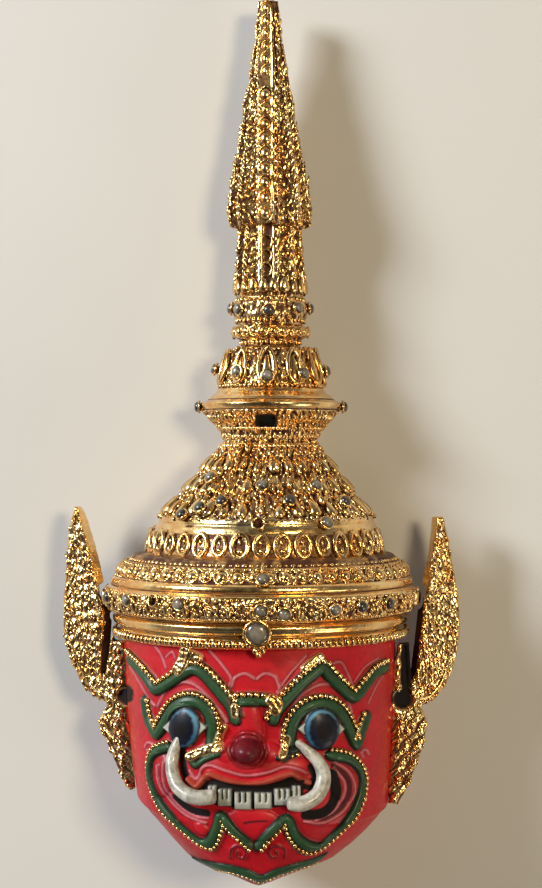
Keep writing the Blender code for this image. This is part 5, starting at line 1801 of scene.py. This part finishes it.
def earCarving(lines, px, py):
    # relief, hollows and where grains lie: scrolls above, a veined leaf below, a ridge and a plain edge
    toOuter, _, _ = nearestOnLine(px, py, lines["outer"])
    toInner, _, _ = nearestOnLine(px, py, lines["inner"])
    u, v = px * front["pixel"], py * front["pixel"]
    worm, _ = grains(u + 0.5 * np.sin(0.45 * v + 0.3 * u), v, 0.8, 1.5, 61, 0.9)
    leaf = step(*earCarved["leaf"], py)
    slant = (u * lines["side"] * 0.75 + v * 0.66) / 1.5 + 0.15 * np.sin(2.0 * v)
    vein = np.abs(np.mod(slant, 1.0) - 0.5) * 2.0
    rise = 0.5 * (1.0 - worm) - 0.3 + leaf * 0.3 * step(0.1, 0.8, vein)
    cavity = (0.06 + 0.64 * step(0.36, 0.72, worm)) * (1.0 - leaf)
    cavity = cavity + leaf * (0.2 + 0.7 * step(0.5, 0.15, vein))
    busy = 1.0 - 0.6 * leaf * step(0.5, 0.3, vein)
    ridge = step(0.8, 0.3, np.abs(toOuter - earCarved["ridgeInset"]) / 2.0)
    ridge = ridge * step(*earCarved["ridge"], py) * (1.0 - leaf)
    plain = step(*earCarved["edgeWidth"], toInner) * step(*earCarved["edge"], py)
    for mask, height, shade in ((ridge, 0.3, 0.0), (plain, 0.05, 0.3)):
        rise = rise * (1.0 - mask) + height * mask
        cavity = cavity * (1.0 - mask) + shade * mask
        busy = busy * (1.0 - mask)
    return rise, cavity, busy


def makeEar(name):
    lines = earOutlines[name]
    points, faces, normals = remesh(name, remeshed)
    drawnIn(points, *toPicture(points), lines["edges"])
    glued = ontoFace(points)
    px, py = toPicture(points)
    ahead = step(0.35, 0.7, normals[:, 2])
    rise, cavity, busy = earCarving(lines, px, py)
    hole = earHole(lines, px, py)
    inward = step(-0.1, -0.4, normals[:, 0] * lines["side"])
    shadow = inward * (1.0 - ahead) * step(*earCarved["shadowTop"], py) * step(*earCarved["shadowFoot"], py)
    unlit = np.maximum(hole, shadow)
    rise = (rise * (1.0 - hole) - earCarved["holeDepth"] * hole) * (1.0 - glued) * ahead
    # the inner walls in the band of shadow, the hole and the slit are painted unlit black, and sides turned
    # away from the front are painted darker: painted shade
    values = {
        "cavity": np.maximum(cavity * ahead + 0.3 * (1.0 - ahead), unlit),
        "bare": np.maximum(step(-0.3, -0.7, normals[:, 2]), unlit),
        "busy": busy * (1.0 - glued) * ahead * (1.0 - hole),
    }
    return meshPiece(f"{name}_cast", points + normals * rise[:, None], faces, values, giltShader)


for name in earOutlines:
    dressWith(makeEar(name), name)
    dressWith(strewOn(f"{name}_cast"), name)
print("ears made")

# Tusks: smooth sweeps from the ends of the row of teeth, drawn in the picture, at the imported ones' depth
tusks = {
    "tusk_left": {
        "line": ((212, 796.5), (203, 797.7), (194, 797), (184.5, 792.8), (176.8, 785), (172.8, 774),
                 (171.8, 762), (174.2, 750.5), (178.5, 738.5)),
        "wide": (15.0, 15.7, 15.5, 15.0, 14.2, 13.4, 13.0, 11.6, 7.0),
    },
    "tusk_right": {
        "line": ((291, 803.5), (300, 804.2), (309.5, 801), (317.5, 794.5), (322.8, 784), (323.2, 773),
                 (318.5, 762.5), (310.5, 753.5), (298.5, 743.5)),
        "wide": (14.0, 15.5, 15.5, 15.3, 15.0, 14.3, 13.0, 11.4, 7.0),
    },
}
tuskForm = {"sides": 16, "slimmer": 0.93, "uneven": 0.05, "rootRound": 0.6, "nearness": 180.0}


def tuskPath(name):
    # middle, radius and direction along a tusk, with rounded ends
    values = tusks[name]
    packed = nodePoints(name)
    packedX, packedY = toPicture(packed)
    centres = []
    for pixel in smoothLine(values["line"], 5):
        near = np.exp(-((packedX - pixel[0]) ** 2 + (packedY - pixel[1]) ** 2) / tuskForm["nearness"])
        centres.append(onPlane(pixel, float((near * packed[:, 2]).sum() / near.sum())))
    centres = np.array(centres)
    wide = smoothLine([(size, 0.0) for size in values["wide"]], 5)[:, 0]
    radii = 0.5 * wide * front["pixel"] * tuskForm["slimmer"]
    along = unitWays(np.gradient(centres, axis=0))
    turns = np.linspace(0.0, 0.5 * math.pi, 5)[1:]
    path = []
    for t in turns[::-1]:
        back = along[0] * radii[0] * tuskForm["rootRound"] * math.sin(t)
        path.append((centres[0] - back, radii[0] * math.cos(t), along[0]))
    path += list(zip(centres, radii, along))
    for t in turns:
        path.append((centres[-1] + along[-1] * radii[-1] * math.sin(t), radii[-1] * math.cos(t), along[-1]))
    return path


def makeTusk(name):
    path = tuskPath(name)
    points, share = [], []
    for number, (centre, radius, way) in enumerate(path):
        across = unitWays(np.cross(way, [0.0, 0.0, 1.0]))
        outward = np.cross(across, way)
        for side in range(tuskForm["sides"]):
            angle = 2.0 * math.pi * side / tuskForm["sides"]
            uneven = float(rolling(number * 0.3, 2.0 * math.cos(angle) + 9.0, 1.0, 83)) - 0.5
            reach = radius * (1.0 + tuskForm["uneven"] * uneven)
            points.append(centre + reach * (across * math.cos(angle) + outward * math.sin(angle)))
            share.append(number / (len(path) - 1.0))
    _, faces = ringFaces(len(points), tuskForm["sides"])
    return meshPiece(f"{name}_curved", np.array(points), faces, {"along": np.array(share)}, tuskShader)


for name in ("tusk_left", "tusk_right"):
    dressWith(makeTusk(name), name)
print("tusks made")

for motif in motifs.values():
    bpy.data.objects.remove(motif)

# Floor, lights and camera

studio = {
    "transform": "Standard",
    "floor": (0.62, 0.61, 0.59),
    "floorReach": 1.5,
    "floorHeight": -0.0002,
    "key": {"from": (-0.62, 0.30, 0.42), "size": 0.24, "power": 8.0, "colour": (0.93, 0.97, 1.0)},
    "warm": {"from": (0.30, 0.10, 0.60), "size": 0.14, "power": 2.2, "colour": (1.0, 0.82, 0.52)},
    "low": {"from": (0.65, -0.45, 0.35), "size": 0.25, "power": 1.2, "colour": (1.0, 0.90, 0.78)},
    "sky": {"side": (0.55, 0.55, 0.58), "above": (0.04, 0.04, 0.05), "strength": 0.35},
}


def makeFloor():
    mesh = bpy.data.meshes.new("floor")
    reach = studio["floorReach"]
    corners = [(-reach, -reach, 0.0), (reach, -reach, 0.0), (reach, reach, 0.0), (-reach, reach, 0.0)]
    mesh.from_pydata(corners, [], [(0, 1, 2, 3)])
    floor = linked("floor", mesh)
    floor.location.z = studio["floorHeight"]
    material, wire, place, shader = startMaterial("floor", {"Roughness": 0.85})
    tone = noise(wire, place, 30.0, 3.0)
    drive(wire, shader, colour=tone.mix(opaque(studio["floor"]), opaque(studio["floor"], 0.97)))
    mesh.materials.append(material)


def makeLight(name, values):
    data = bpy.data.lights.new(name, "AREA")
    data.shape = "SQUARE"
    data.size = values["size"]
    data.energy = values["power"]
    data.color = values["colour"]
    light = linked(name, data)
    light.location = values["from"]
    light.rotation_euler = (-Vector(values["from"])).to_track_quat("-Z", "Y").to_euler()


def makeWorld():
    world = bpy.data.worlds.new("studio")
    bpy.context.scene.world = world
    world.use_nodes = True
    wire = Wire(world.node_tree)
    direction = wire.node("ShaderNodeTexCoord", None, None, "Generated")
    up = wire.node("ShaderNodeSeparateXYZ", None, {"Vector": direction}, "Z")
    sky = up.between(0.1, 0.9).mix(opaque(studio["sky"]["side"]), opaque(studio["sky"]["above"]))
    background = world.node_tree.nodes["Background"]
    world.node_tree.links.new(sky.socket, background.inputs["Color"])
    background.inputs["Strength"].default_value = studio["sky"]["strength"]


def makeCamera():
    data = bpy.data.cameras.new("camera")
    data.sensor_fit = "AUTO"
    data.sensor_width = front["sensor"]
    halfHeight = 0.5 * front["pictureHeight"] * front["pixel"] / front["distance"]
    data.lens = 0.5 * front["sensor"] / halfHeight
    data.clip_start = 0.01
    camera = linked("camera", data)
    rotation = Matrix((viewRight, (0.0, 1.0, 0.0), -viewAhead)).transposed()
    camera.matrix_world = Matrix.Translation(Vector(viewEye * unit)) @ rotation.to_4x4()
    bpy.context.scene.camera = camera


bpy.context.scene.view_settings.view_transform = studio["transform"]
makeFloor()
for name in ("key", "warm", "low"):
    makeLight(name, studio[name])
makeWorld()
makeCamera()
print("studio made")
